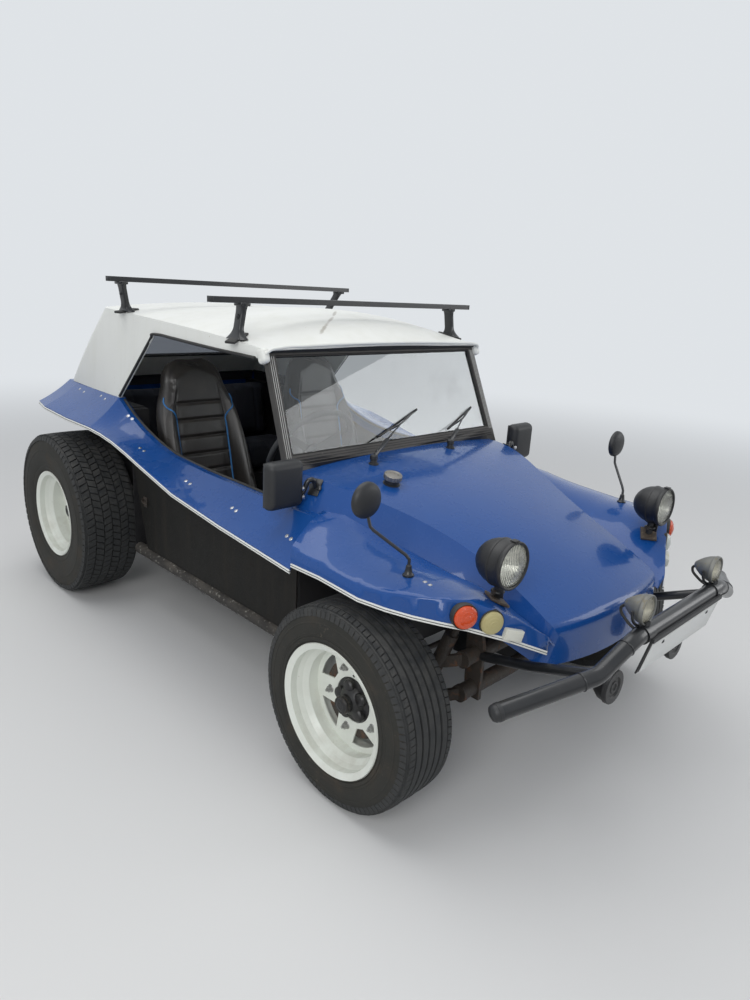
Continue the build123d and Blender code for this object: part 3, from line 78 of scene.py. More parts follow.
# %% [markdown]
# Small fittings such as rivets have no CAD solid. Each is set where a line from the camera through its
# place in the photograph meets the panel that it sits on, so it stands on the metal from every side.


# %% Find a place on a panel
def on_panel(node_name, pixel):
    """Where the sight line through a photograph pixel meets a CAD panel, and the panel's direction there."""
    across_view = (pixel[0] - photo_width / 2) / focal_pixels
    up_view = (photo_height / 2 - pixel[1]) / focal_pixels
    sight = (ahead + view_right * across_view + view_up * up_view).normalized()
    hit, place, normal, face = nodes[node_name].ray_cast(eye, sight)
    if normal.dot(sight) > 0:
        normal = -normal
    return (place, normal) if hit else (None, None)


flange_pixel = (186, 481)
print("a place on the right flange:", on_panel("body_shell", flange_pixel)[0])

# %% [markdown]
# Every piece below starts as a bmesh. These helpers do what a workshop does again and again: turn a
# profile on a lathe, bend a bar, round a block's corners, make the other side's twin, and hang the
# finished piece on a body. Normals are worked out anew once doubles are merged, because a spin or a
# mirror can leave a shape inside out.


# %% Workshop helpers
def turned(profile, steps=64, middle=(0, 0, 0), axis=(1, 0, 0)):
    """A shape turned on a lathe from (along, radius) points in metres."""
    shape = bmesh.new()
    line = [shape.verts.new((along, 0, radius)) for along, radius in profile]
    edges = [shape.edges.new(pair) for pair in zip(line, line[1:])]
    bmesh.ops.spin(shape, geom=line + edges, axis=(1, 0, 0), cent=(0, 0, 0), angle=2 * pi,
                   steps=steps, use_merge=True)
    bmesh.ops.remove_doubles(shape, verts=shape.verts, dist=0.000001)
    aim = Vector(axis).to_track_quat("X", "Z").to_matrix().to_4x4()
    bmesh.ops.transform(shape, matrix=Matrix.Translation(middle) @ aim, verts=shape.verts)
    return shape


def wire(points, radius, sides=8, bends=True, closed=False):
    """A round bar or wire through points, made from a curve with a bevel."""
    line = bpy.data.curves.new("wire", "CURVE")
    line.dimensions = "3D"
    line.bevel_depth = radius
    line.bevel_resolution = max(0, sides // 2 - 2)
    line.resolution_u = 8
    line.use_fill_caps = not closed
    run = line.splines.new("BEZIER")
    run.bezier_points.add(len(points) - 1)
    for knot, place in zip(run.bezier_points, points):
        knot.co = place
        knot.handle_left_type = knot.handle_right_type = "AUTO" if bends else "VECTOR"
    run.use_cyclic_u = closed
    holder = bpy.data.objects.new("wire", line)
    shape = bmesh.new()
    mesh = bpy.data.meshes.new_from_object(holder)
    shape.from_mesh(mesh)
    bpy.data.objects.remove(holder)
    bpy.data.curves.remove(line)
    bpy.data.meshes.remove(mesh)
    return shape


def block(size, corner, middle=(0, 0, 0), turn=None, segments=2):
    """A block with rounded edges, turned by a 3x3 matrix if one is given."""
    shape = bmesh.new()
    bmesh.ops.create_cube(shape, size=1)
    bmesh.ops.scale(shape, vec=size, verts=shape.verts)
    bmesh.ops.bevel(shape, geom=shape.edges[:], offset=corner, segments=segments, profile=0.5,
                    affect="EDGES", material=-1, clamp_overlap=True)
    matrix = Matrix.Translation(middle) @ (turn.to_4x4() if turn else Matrix())
    bmesh.ops.transform(shape, matrix=matrix, verts=shape.verts)
    return shape


def pin(sides, foot, top, length, place=(0, 0, 0), turn=None):
    """A bolt, nut or washer: a prism or cone along Z, turned by a 3x3 matrix if one is given."""
    shape = bmesh.new()
    bmesh.ops.create_cone(shape, cap_ends=True, segments=sides, radius1=foot, radius2=top, depth=length)
    if turn:
        bmesh.ops.rotate(shape, matrix=turn, verts=shape.verts)
    bmesh.ops.translate(shape, vec=place, verts=shape.verts)
    return shape


def joined(*shapes):
    """Several shapes as one."""
    whole = bmesh.new()
    for shape in shapes:
        mesh = bpy.data.meshes.new("part")
        shape.to_mesh(mesh)
        shape.free()
        whole.from_mesh(mesh)
        bpy.data.meshes.remove(mesh)
    return whole


def both_sides(shape):
    """A shape and its twin on the other side of the car."""
    twin = bmesh.ops.duplicate(shape, geom=shape.verts[:] + shape.edges[:] + shape.faces[:])
    corners = [item for item in twin["geom"] if isinstance(item, bmesh.types.BMVert)]
    bmesh.ops.scale(shape, vec=(-1, 1, 1), verts=corners)
    return shape


def hang(shape, name, paint, body="body", stands_for=(), sharp=35, more_paints=()):
    """The finished object of a shape, riding on a body."""
    bmesh.ops.remove_doubles(shape, verts=shape.verts, dist=0.00001)
    bmesh.ops.recalc_face_normals(shape, faces=shape.faces)
    for face in shape.faces:
        face.smooth = True
    mesh = bpy.data.meshes.new(name)
    shape.to_mesh(mesh)
    shape.free()
    mesh.set_sharp_from_angle(angle=radians(sharp))
    for coat in (paint, *more_paints):
        mesh.materials.append(coat)
    piece = bpy.data.objects.new(name, mesh)
    scene.collection.objects.link(piece)
    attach(piece, body)
    if stands_for:
        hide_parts(*stands_for)
    return piece


print("helpers ready")

# %% [markdown]
# Real surfaces are never one flat colour. Four effects come back on many pieces: a fine grain, dust on
# what faces up, blotches of wear, and dirt that has run downwards. Each is a shader group, built once
# and placed in every material with its own numbers. They read Object coordinates, so nothing slides.


# %% Shader groups
def new_group(name, inputs, outputs):
    """An empty shader group with named number inputs and outputs, and its two end nodes."""
    group = bpy.data.node_groups.new(name, "ShaderNodeTree")
    for label, value in inputs:
        socket = group.interface.new_socket(label, in_out="INPUT", socket_type="NodeSocketFloat")
        socket.default_value = value
    for label in outputs:
        group.interface.new_socket(label, in_out="OUTPUT", socket_type="NodeSocketFloat")
    return group, group.nodes.new("NodeGroupInput"), group.nodes.new("NodeGroupOutput")


def add_node(tree, kind, values=None, **settings):
    """A node with its settings, and values for its input sockets."""
    node = tree.nodes.new(kind)
    for key, value in settings.items():
        setattr(node, key, value)
    for key, value in (values or {}).items():
        if isinstance(value, bpy.types.NodeSocket):
            tree.links.new(value, node.inputs[key])
        else:
            node.inputs[key].default_value = value
    return node


def cloud(tree, scale, detail=4.0, stretch=None, roughness=0.55):
    """A noise's value at the piece's own coordinates."""
    where = add_node(tree, "ShaderNodeTexCoord").outputs["Object"]
    if stretch:
        where = add_node(tree, "ShaderNodeMapping", {"Vector": where, "Scale": stretch}).outputs[0]
    return add_node(tree, "ShaderNodeTexNoise", {"Vector": where, "Scale": scale, "Detail": detail,
                                                 "Roughness": roughness}).outputs["Fac"]


def ramp(tree, value, low, high):
    """A value brought to 0 at low and 1 at high, smoothly."""
    return add_node(tree, "ShaderNodeMapRange", {"Value": value, "From Min": low, "From Max": high},
                    interpolation_type="SMOOTHSTEP").outputs["Result"]


def maths(tree, operation, a, b=0.0):
    """One sum on two values or sockets."""
    return add_node(tree, "ShaderNodeMath", {0: a, 1: b}, operation=operation).outputs[0]


grain_group, grain_in, grain_out = new_group("fine_grain", [("Scale", 300.0), ("Contrast", 1.0)], ["Height"])
grain_noise = cloud(grain_group, grain_in.outputs["Scale"], 3.0)
grain_group.links.new(maths(grain_group, "MULTIPLY", grain_noise, grain_in.outputs["Contrast"]),
                      grain_out.inputs["Height"])

dust_group, dust_in, dust_out = new_group("settled_dust", [("Amount", 0.5), ("Scale", 9.0)], ["Mask"])
facing = add_node(dust_group, "ShaderNodeNewGeometry").outputs["Normal"]
upward = add_node(dust_group, "ShaderNodeSeparateXYZ", {0: facing}).outputs["Z"]
lying = ramp(dust_group, upward, -0.4, 1.0)
drift = ramp(dust_group, cloud(dust_group, dust_in.outputs["Scale"], 6.0), 0.3, 0.72)
dust_group.links.new(maths(dust_group, "MULTIPLY", maths(dust_group, "MULTIPLY", lying, drift),
                           dust_in.outputs["Amount"]), dust_out.inputs["Mask"])

blotch_group, blotch_in, blotch_out = new_group(
    "worn_blotches", [("Scale", 12.0), ("Cover", 0.4), ("Edge", 0.08)], ["Mask"])
blotch_noise = cloud(blotch_group, blotch_in.outputs["Scale"], 8.0, roughness=0.65)
blotch_low = maths(blotch_group, "SUBTRACT", 0.75, maths(blotch_group, "MULTIPLY",
                                                         blotch_in.outputs["Cover"], 0.5))
blotch_high = maths(blotch_group, "ADD", blotch_low, blotch_in.outputs["Edge"])
blotch_group.links.new(ramp(blotch_group, blotch_noise, blotch_low, blotch_high),
                       blotch_out.inputs["Mask"])

streak_group, streak_in, streak_out = new_group("rain_streaks", [("Amount", 0.5), ("Scale", 14.0)], ["Mask"])
streak_noise = cloud(streak_group, streak_in.outputs["Scale"], 4.0, stretch=(1.0, 1.0, 0.1))
streak_group.links.new(maths(streak_group, "MULTIPLY", ramp(streak_group, streak_noise, 0.48, 0.78),
                             streak_in.outputs["Amount"]), streak_out.inputs["Mask"])
print("shader groups:", len(bpy.data.node_groups))

# %% [markdown]
# A studio is only a floor, a pale world and large soft lamps. The world's Light Path node lets the
# camera, mirrors and glass see a pale backdrop while the light that falls on the object stays plain.

# %% Floor, world and lamps
haze_colour = (0.74, 0.77, 0.8, 1)
fade_from, fade_to = 2.2, 9.0
floor_mesh = bpy.data.meshes.new("floor")
floor = bpy.data.objects.new("floor", floor_mesh)
scene.collection.objects.link(floor)
floor_shape = bmesh.new()
bmesh.ops.create_circle(floor_shape, cap_ends=True, radius=30, segments=64)
floor_shape.to_mesh(floor_mesh)
floor_shape.free()
floor_paint = bpy.data.materials.new("studio_floor")
floor_paint.use_nodes = True
floor_tree = floor_paint.node_tree
floor_skin = floor_tree.nodes["Principled BSDF"]
for socket, value in (("Base Color", (0.74, 0.74, 0.73, 1)), ("Roughness", 0.9),
                      ("Specular IOR Level", 0.1)):
    floor_skin.inputs[socket].default_value = value
floor_place = add_node(floor_tree, "ShaderNodeTexCoord").outputs["Object"]
far = add_node(floor_tree, "ShaderNodeVectorMath", {0: floor_place}, operation="LENGTH").outputs["Value"]
camera_ray = add_node(floor_tree, "ShaderNodeLightPath").outputs["Is Camera Ray"]
seen_far = maths(floor_tree, "MULTIPLY", ramp(floor_tree, far, fade_from, fade_to), camera_ray)
haze = add_node(floor_tree, "ShaderNodeEmission", {"Color": haze_colour}).outputs[0]
floor_mix = add_node(floor_tree, "ShaderNodeMixShader", {0: seen_far, 1: floor_skin.outputs[0], 2: haze})
floor_tree.links.new(floor_mix.outputs[0], floor_tree.nodes["Material Output"].inputs[0])
floor_mesh.materials.append(floor_paint)

world = bpy.data.worlds.new("studio")
scene.world = world
world.use_nodes = True
sky = world.node_tree
sky.nodes.clear()
seen = add_node(sky, "ShaderNodeBackground", {"Color": haze_colour}).outputs[0]
lit = add_node(sky, "ShaderNodeBackground", {"Color": (0.78, 0.81, 0.86, 1), "Strength": 0.5}).outputs[0]
path = add_node(sky, "ShaderNodeLightPath").outputs
shown = maths(sky, "MAXIMUM", path["Is Camera Ray"], path["Is Transmission Ray"])
shown = maths(sky, "MAXIMUM", shown, path["Is Glossy Ray"])
backdrop = add_node(sky, "ShaderNodeMixShader", {0: shown, 1: lit, 2: seen}).outputs[0]
add_node(sky, "ShaderNodeOutputWorld", {0: backdrop})

# Columns: name, place, width in metres, power in watts
lamps = [
    ("overhead", (-0.5, 0.5, 5.2), 4.5, 120),
    ("key_left", (-4.6, -3.4, 3.6), 2.6, 110),
    ("fill_right", (4.4, -4.2, 2.6), 2.6, 50),
]
for lamp_name, place, size, power in lamps:
    lamp_data = bpy.data.lights.new(lamp_name, "AREA")
    lamp_data.size = size
    lamp_data.energy = power
    lamp = bpy.data.objects.new(lamp_name, lamp_data)
    scene.collection.objects.link(lamp)
    aim = Vector((0, 0, 0.6)) - Vector(place)
    lamp.matrix_world = Matrix.Translation(place) @ aim.to_track_quat("-Z", "Y").to_matrix().to_4x4()
scene.view_settings.view_transform = "Standard"
print("lamps:", len(lamps))

# %% [markdown]
# A finish is described in one call: its colour, its roughness, and layers of (group, numbers, second
# colour, roughness there) that are mixed in where the group's mask is high. The grain feeds a Bump node.
# Numbers that are the same all over the surface go straight to the shader's own sockets.


# %% Make a finish
def finish(name, colour, rough, layers=(), grain=None, plain=None, tint=0.0):
    """A material of a base colour, masked layers over it, and a fine grain in its relief."""
    paint = bpy.data.materials.new(name)
    paint.use_nodes = True
    tree = paint.node_tree
    skin = tree.nodes["Principled BSDF"]
    for socket, value in (plain or {}).items():
        skin.inputs[socket].default_value = value
    tone = add_node(tree, "ShaderNodeMix", {"Factor": cloud(tree, 5.0, 5.0), 6: (*colour, 1),
                    7: (*[c * (1 - tint) for c in colour], 1)}, data_type="RGBA").outputs[2]
    gloss = maths(tree, "ADD", maths(tree, "MULTIPLY", cloud(tree, 26.0, 5.0), 0.1), rough - 0.05)
    for group_name, numbers, second, second_rough in layers:
        node = add_node(tree, "ShaderNodeGroup", node_tree=bpy.data.node_groups[group_name])
        for label, value in numbers.items():
            node.inputs[label].default_value = value
        mask = node.outputs["Mask"]
        tone = add_node(tree, "ShaderNodeMix", {"Factor": mask, 6: tone, 7: (*second, 1)},
                        data_type="RGBA").outputs[2]
        gloss = add_node(tree, "ShaderNodeMix", {"Factor": mask, 2: gloss, 3: second_rough},
                         data_type="FLOAT").outputs[0]
    tree.links.new(tone, skin.inputs["Base Color"])
    tree.links.new(gloss, skin.inputs["Roughness"])
    if grain:
        scale, strength, depth = grain
        node = add_node(tree, "ShaderNodeGroup", node_tree=bpy.data.node_groups["fine_grain"])
        node.inputs["Scale"].default_value = scale
        bump = add_node(tree, "ShaderNodeBump", {"Height": node.outputs["Height"], "Strength": strength,
                                                 "Distance": depth})
        tree.links.new(bump.outputs["Normal"], skin.inputs["Normal"])
    return paint


def dust(amount, colour=(0.3, 0.27, 0.23), scale=9.0):
    """A layer of settled dust."""
    return ("settled_dust", {"Amount": amount, "Scale": scale}, colour, 0.9)


def blotches(scale, cover, colour, rough, edge=0.08):
    """A layer of worn or rusty blotches."""
    return ("worn_blotches", {"Scale": scale, "Cover": cover, "Edge": edge}, colour, rough)


def streaks(amount, colour, scale=14.0, rough=0.7):
    """A layer of dirt that has run down."""
    return ("rain_streaks", {"Amount": amount, "Scale": scale}, colour, rough)


def stain(paint, start, end, width, colour):
    """A dried streak from one place of a finish to another: a long oval with a ragged edge."""
    tree = paint.node_tree
    tone = tree.nodes["Principled BSDF"].inputs["Base Color"]
    where = add_node(tree, "ShaderNodeTexCoord").outputs["Object"]
    middle, run = (start + end) / 2, end - start
    sideways = Vector((run.y, -run.x, 0))
    moved = add_node(tree, "ShaderNodeVectorMath", {0: where, 1: tuple(middle)},
                     operation="SUBTRACT").outputs[0]
    scaled = []
    for way, reach in ((run.normalized(), run.length * 0.62), (sideways.normalized(), width)):
        dot = add_node(tree, "ShaderNodeVectorMath", {0: moved, 1: tuple(way / reach)},
                       operation="DOT_PRODUCT")
        scaled.append(dot.outputs["Value"])
    flat = add_node(tree, "ShaderNodeCombineXYZ", {0: scaled[0], 1: scaled[1]}).outputs[0]
    far = add_node(tree, "ShaderNodeVectorMath", {0: flat}, operation="LENGTH").outputs["Value"]
    ragged = maths(tree, "ADD", far, maths(tree, "MULTIPLY", cloud(tree, 30.0, 5.0), 1.4))
    mask = maths(tree, "MULTIPLY", ramp(tree, ragged, 1.8, 1.0), 0.75)
    mixed = add_node(tree, "ShaderNodeMix", {"Factor": mask, 6: tone.links[0].from_socket, 7: (*colour, 1)},
                     data_type="RGBA").outputs[2]
    tree.links.new(mixed, tone)


print("finish maker ready")

# %% [markdown]
# The body is gel-coated moulding: a deep royal blue under a hard gloss. A clear coat on the shader gives
# the second, sharper reflection that polished gel coat has. A trace of dust and a soft change in roughness
# break up the reflections, as a hand-laid panel does.

# %% Body finishes
blue_paint = finish("royal_blue_gel_coat", (0.007, 0.07, 0.29), 0.26, tint=0.15,
                    layers=[dust(0.06, (0.04, 0.11, 0.26)), blotches(9, 0.16, (0.01, 0.08, 0.31), 0.3)],
                    plain={"Specular IOR Level": 0.2, "Coat Weight": 0.5, "Coat Roughness": 0.03})
white_top = finish("weathered_white_top", (0.85, 0.86, 0.82), 0.38, tint=0.06,
                   layers=[dust(0.2, (0.66, 0.66, 0.58)), streaks(0.18, (0.62, 0.62, 0.53)),
                           blotches(55, 0.13, (0.55, 0.5, 0.4), 0.7, 0.05)],
                   grain=(260, 0.15, 0.0006), plain={"Coat Weight": 0.2, "Coat Roughness": 0.2})
black_tub = finish("satin_black_tub", (0.018, 0.018, 0.02), 0.55, tint=0.3,
                   layers=[dust(0.55, (0.1, 0.09, 0.08))], grain=(420, 0.3, 0.0008))
black_panel = finish("textured_black_panel", (0.01, 0.0098, 0.0088), 0.58, tint=0.3,
                     layers=[dust(0.32, (0.05, 0.044, 0.036)), streaks(0.45, (0.034, 0.028, 0.021)),
                             blotches(14, 0.34, (0.02, 0.017, 0.014), 0.8, 0.2)],
                     grain=(340, 0.55, 0.0014), plain={"Specular IOR Level": 0.2})
dirty_rail = finish("dirty_side_rail", (0.04, 0.037, 0.034), 0.6, tint=0.3,
                    layers=[dust(0.8, (0.145, 0.13, 0.11)), blotches(30, 0.25, (0.055, 0.04, 0.03), 0.9),
                            blotches(60, 0.36, (0.26, 0.25, 0.22), 0.8)], grain=(300, 0.6, 0.0015),
                    plain={"Specular IOR Level": 0.3})
black_steel = finish("satin_black_tube", (0.013, 0.0145, 0.017), 0.3, tint=0.3,
                     layers=[dust(0.16, (0.09, 0.085, 0.08)),
                             blotches(70, 0.12, (0.09, 0.085, 0.08), 0.6, 0.03)],
                     grain=(500, 0.15, 0.0005),
                     plain={"Specular IOR Level": 0.35, "Coat Weight": 0.4, "Coat Roughness": 0.12})
black_plastic = finish("black_moulding", (0.015, 0.016, 0.018), 0.46, tint=0.2,
                       layers=[dust(0.22, (0.08, 0.08, 0.076))], grain=(900, 0.35, 0.0005))
black_rubber = finish("black_rubber", (0.018, 0.018, 0.018), 0.62, tint=0.3,
                      layers=[dust(0.45, (0.1, 0.095, 0.085))], grain=(700, 0.3, 0.0006))
frame_paint = finish("grey_brown_screen_frame", (0.04, 0.037, 0.034), 0.45, tint=0.3,
                     layers=[dust(0.5, (0.13, 0.12, 0.11)), blotches(45, 0.3, (0.1, 0.09, 0.08), 0.6)],
                     grain=(500, 0.25, 0.0007))
white_trim = finish("white_edge_bead", (0.8, 0.81, 0.78), 0.35, tint=0.08,
                    layers=[blotches(60, 0.2, (0.45, 0.44, 0.4), 0.6)], grain=(300, 0.1, 0.0003))
aluminium = finish("dull_aluminium_strip", (0.42, 0.42, 0.41), 0.34, tint=0.2,
                   layers=[dust(0.3, (0.25, 0.24, 0.22)), blotches(50, 0.2, (0.18, 0.18, 0.17), 0.6)],
                   grain=(600, 0.15, 0.0004), plain={"Metallic": 0.9})
bare_steel = finish("dull_bare_steel", (0.2, 0.195, 0.185), 0.42, tint=0.3,
                    layers=[dust(0.35, (0.12, 0.1, 0.085)), blotches(70, 0.3, (0.12, 0.06, 0.035), 0.8)],
                    plain={"Metallic": 0.6})
chrome = finish("worn_chrome", (0.62, 0.62, 0.63), 0.16, tint=0.1,
                layers=[dust(0.3, (0.22, 0.2, 0.17)), blotches(90, 0.2, (0.2, 0.16, 0.12), 0.6)],
                plain={"Metallic": 1.0})
print("body finishes made")

# %% [markdown]
# Below the body everything has seen roads and beaches. The suspension is rusty and oily, the castings
# are chalky grey, and the exhaust is brown from heat. Tyres are grey-black on the tread and brown on
# the walls, where old rubber blooms; the white wheels carry brake dust and small rusty spots.

# %% Running-gear finishes
rusty_steel = finish("rusty_oily_steel", (0.032, 0.025, 0.02), 0.6, tint=0.4,
                     layers=[blotches(34, 0.42, (0.105, 0.05, 0.026), 0.9, 0.15),
                             blotches(75, 0.35, (0.014, 0.012, 0.011), 0.3), dust(0.45, (0.15, 0.12, 0.09))],
                     grain=(220, 0.9, 0.0025))
cast_case = finish("rough_casting", (0.26, 0.26, 0.25), 0.6, tint=0.25,
                   layers=[blotches(26, 0.45, (0.09, 0.075, 0.06), 0.5, 0.2), dust(0.6, (0.2, 0.17, 0.13))],
                   grain=(380, 0.8, 0.002), plain={"Metallic": 0.55})
exhaust_steel = finish("heat_stained_steel", (0.16, 0.13, 0.11), 0.45, tint=0.4,
                       layers=[blotches(22, 0.5, (0.15, 0.06, 0.03), 0.85), dust(0.4)],
                       grain=(300, 0.6, 0.0015), plain={"Metallic": 0.6})
tyre_tread = finish("tyre_tread", (0.03, 0.032, 0.033), 0.75, tint=0.35,
                    layers=[dust(0.5, (0.12, 0.115, 0.105), 30.0),
                            blotches(18, 0.4, (0.06, 0.06, 0.058), 0.9, 0.3)], grain=(650, 0.7, 0.0012))
tyre_wall = finish("tyre_wall", (0.03, 0.03, 0.026), 0.7, tint=0.35,
                   layers=[blotches(7, 0.55, (0.06, 0.048, 0.036), 0.85, 0.35),
                           blotches(60, 0.28, (0.085, 0.074, 0.06), 0.9, 0.12),
                           dust(0.26, (0.12, 0.105, 0.085))],
                   grain=(480, 0.6, 0.001), plain={"Specular IOR Level": 0.3})
rim_white = finish("white_wheel_paint", (0.82, 0.85, 0.78), 0.36, tint=0.1,
                   layers=[dust(0.35, (0.42, 0.38, 0.3), 20.0),
                           blotches(34, 0.22, (0.42, 0.39, 0.31), 0.7, 0.12),
                           blotches(120, 0.1, (0.2, 0.12, 0.07), 0.9, 0.03)],
                   grain=(400, 0.15, 0.0005), plain={"Coat Weight": 0.2, "Coat Roughness": 0.15})
drum_metal = finish("dark_rusty_drum", (0.04, 0.032, 0.026), 0.7, tint=0.4,
                    layers=[blotches(28, 0.5, (0.1, 0.055, 0.032), 0.9, 0.15),
                            dust(0.4, (0.14, 0.11, 0.085))],
                    grain=(260, 0.7, 0.0015))
hub_black = finish("greasy_black_hub", (0.01, 0.01, 0.011), 0.34, tint=0.3,
                   layers=[blotches(60, 0.3, (0.045, 0.038, 0.03), 0.7), dust(0.3, (0.1, 0.09, 0.075))],
                   grain=(300, 0.4, 0.001))
print("running-gear finishes made")

# %% [markdown]
# Lamps and screens need glass that lets light through. A full Transmission Weight with plain values is
# what other programs understand too. Coloured lenses are nearly solid plastic whose ribs are modelled.

# %% Glass, lens and seat finishes
def clear(name, colour, rough, weight=1.0, ior=1.45):
    """A clear or tinted glass with plain values on the shader."""
    paint = bpy.data.materials.new(name)
    paint.use_nodes = True
    tree = paint.node_tree
    skin = tree.nodes["Principled BSDF"]
    skin.inputs["Transmission Weight"].default_value = weight
    skin.inputs["IOR"].default_value = ior
    skin.inputs["Base Color"].default_value = (*colour, 1)
    film = ramp(tree, cloud(tree, 7.0, 6.0), 0.5, 0.85)
    smear = maths(tree, "ADD", maths(tree, "MULTIPLY", film, 0.004), rough)
    dusty = [c * 0.86 for c in colour]
    tone = add_node(tree, "ShaderNodeMix", {"Factor": film, 6: (*colour, 1), 7: (*dusty, 1)},
                    data_type="RGBA").outputs[2]
    tree.links.new(tone, skin.inputs["Base Color"])
    tree.links.new(smear, skin.inputs["Roughness"])
    return paint


screen_glass = clear("clear_screen", (0.88, 0.92, 0.93), 0.0)
rear_glass = clear("smoky_rear_window", (0.42, 0.45, 0.5), 0.02)
lamp_glass = clear("lamp_glass", (0.95, 0.95, 0.9), 0.03)
spot_glass = clear("yellowish_spot_glass", (0.92, 0.89, 0.78), 0.05)
mirror_glass = finish("mirror_glass", (0.75, 0.77, 0.8), 0.08, plain={"Metallic": 1.0})
reflector_silver = finish("lamp_reflector", (0.86, 0.86, 0.84), 0.3, plain={"Metallic": 0.7}, tint=0.08)
orange_lens = finish("ribbed_orange_lens", (0.7, 0.075, 0.012), 0.22, tint=0.25,
                     layers=[blotches(60, 0.2, (0.78, 0.2, 0.04), 0.4, 0.2)],
                     plain={"Coat Weight": 0.5, "Coat Roughness": 0.1, "Subsurface Weight": 0.0})
cream_lens = finish("old_cream_lens", (0.52, 0.46, 0.22), 0.35, tint=0.2,
                    layers=[blotches(50, 0.3, (0.6, 0.56, 0.36), 0.5, 0.2)], grain=(300, 0.2, 0.0006))
clear_lens = finish("clear_side_lens", (0.62, 0.66, 0.62), 0.2, tint=0.2, plain={"Coat Weight": 0.5})
red_lens = finish("ribbed_red_lens", (0.42, 0.012, 0.01), 0.22, tint=0.25,
                  plain={"Coat Weight": 0.5, "Coat Roughness": 0.1})
white_reflector = finish("white_reflector", (0.74, 0.74, 0.66), 0.3, tint=0.1,
                         layers=[blotches(30, 0.35, (0.62, 0.56, 0.34), 0.5, 0.15)], grain=(900, 0.3, 0.0006))
lamp_black = finish("matt_black_lamp", (0.014, 0.014, 0.015), 0.42, tint=0.25,
                    layers=[dust(0.22, (0.08, 0.08, 0.076)), blotches(60, 0.2, (0.05, 0.048, 0.044), 0.7)],
                    grain=(420, 0.35, 0.0008))
spot_grey = finish("faded_spot_shell", (0.2, 0.205, 0.2), 0.36, tint=0.3,
                   layers=[dust(0.6, (0.25, 0.24, 0.2)), blotches(60, 0.4, (0.22, 0.2, 0.15), 0.7)],
                   grain=(420, 0.35, 0.0008), plain={"Metallic": 0.5})
plate_white = finish("blank_white_plate", (0.72, 0.73, 0.72), 0.35, tint=0.08,
                     layers=[dust(0.3, (0.45, 0.42, 0.36))], grain=(300, 0.1, 0.0003))
seat_leather = finish("black_seat_vinyl", (0.021, 0.0185, 0.017), 0.36, tint=0.35,
                      layers=[dust(0.35, (0.1, 0.085, 0.07)),
                              blotches(9, 0.35, (0.05, 0.042, 0.036), 0.45, 0.3)],
                      grain=(520, 0.45, 0.0009), plain={"Coat Weight": 0.15, "Coat Roughness": 0.3})
blue_piping = finish("blue_piping", (0.035, 0.2, 0.5), 0.45, tint=0.2, grain=(900, 0.3, 0.0004))
dark_cloth = finish("dark_bench_cover", (0.018, 0.02, 0.03), 0.8, tint=0.35,
                    layers=[dust(0.4, (0.08, 0.08, 0.09))], grain=(700, 0.8, 0.0012))
print("materials:", len(bpy.data.materials))

# %% [markdown]
# The CAD pieces whose shape is already right keep it, and only take a finish. The table names them.

# %% Paint the carried-over pieces
paint_of = {
    "bonnet": blue_paint, "front_fenders": blue_paint, "body_shell": blue_paint, "hardtop": white_top,
    "inner_tub": black_tub, "floor_pan": black_tub, "side_rails": dirty_rail, "side_panels": black_panel,
    "windscreen_frame": frame_paint, "windscreen_glass": screen_glass, "rear_window": rear_glass,
    "roof_bars": black_steel, "bar_feet": black_rubber, "seat_driver": seat_leather,
    "seat_passenger": seat_leather, "seat_runners": black_steel, "rear_seat": dark_cloth,
    "dashboard": black_tub, "steering_column": black_steel, "steering_wheel": black_plastic,
    "front_beam": rusty_steel, "front_arms": rusty_steel, "knuckle_left": rusty_steel,
    "knuckle_right": rusty_steel, "tie_rod": rusty_steel, "gearbox": cast_case,
    "rear_suspension": rusty_steel, "engine_case": cast_case, "fan_shroud": black_steel,
    "exhaust": exhaust_steel, "rear_bumper": black_steel, "lamp_shells": lamp_black,
    "lamp_lenses": lamp_glass, "indicator_lamps": orange_lens, "side_lamps": cream_lens,
    "tail_lamps": red_lens, "front_bumper": black_steel, "plate_holder": black_plastic,
    "horns": lamp_black, "mirrors": black_plastic, "wipers": black_steel, "fuel_cap": chrome,
    "floor_controls": black_steel,
}
for end in ("front", "rear"):
    for side_name in ("left", "right"):
        paint_of[end + "_tyre_" + side_name] = tyre_wall
        paint_of[end + "_rim_" + side_name] = rim_white
        paint_of[end + "_drum_" + side_name] = drum_metal
for node_name, node in nodes.items():
    node.data.materials.clear()
    node.data.materials.append(paint_of[node_name])
print("painted:", len(paint_of))

# %% [markdown]
# The tyres are mud-and-road tyres: a carcass with a soft bulge and raised rings on its wall, and a tread
# that is cut in blocks. The carcass is turned from one profile. Its arc goes through the bead, the widest
# point and the shoulder, and each raised ring lifts a short stretch of it by a millimetre or two.


# %% Tyre profile
def arc_through(a, b, c, count):
    """Points of the circle through three (along, radius) points, and its centre."""
    ax, ay, bx, by, cx, cy = *a, *b, *c
    d = 2 * (ax * (by - cy) + bx * (cy - ay) + cx * (ay - by))
    ux = ((ax**2 + ay**2) * (by - cy) + (bx**2 + by**2) * (cy - ay) + (cx**2 + cy**2) * (ay - by)) / d
    uy = ((ax**2 + ay**2) * (cx - bx) + (bx**2 + by**2) * (ax - cx) + (cx**2 + cy**2) * (bx - ax)) / d
    reach = hypot(ax - ux, ay - uy)
    start, end = atan2(ay - uy, ax - ux), atan2(cy - uy, cx - ux)
    return [(ux, uy, reach, start + (end - start) * i / count) for i in range(count + 1)]


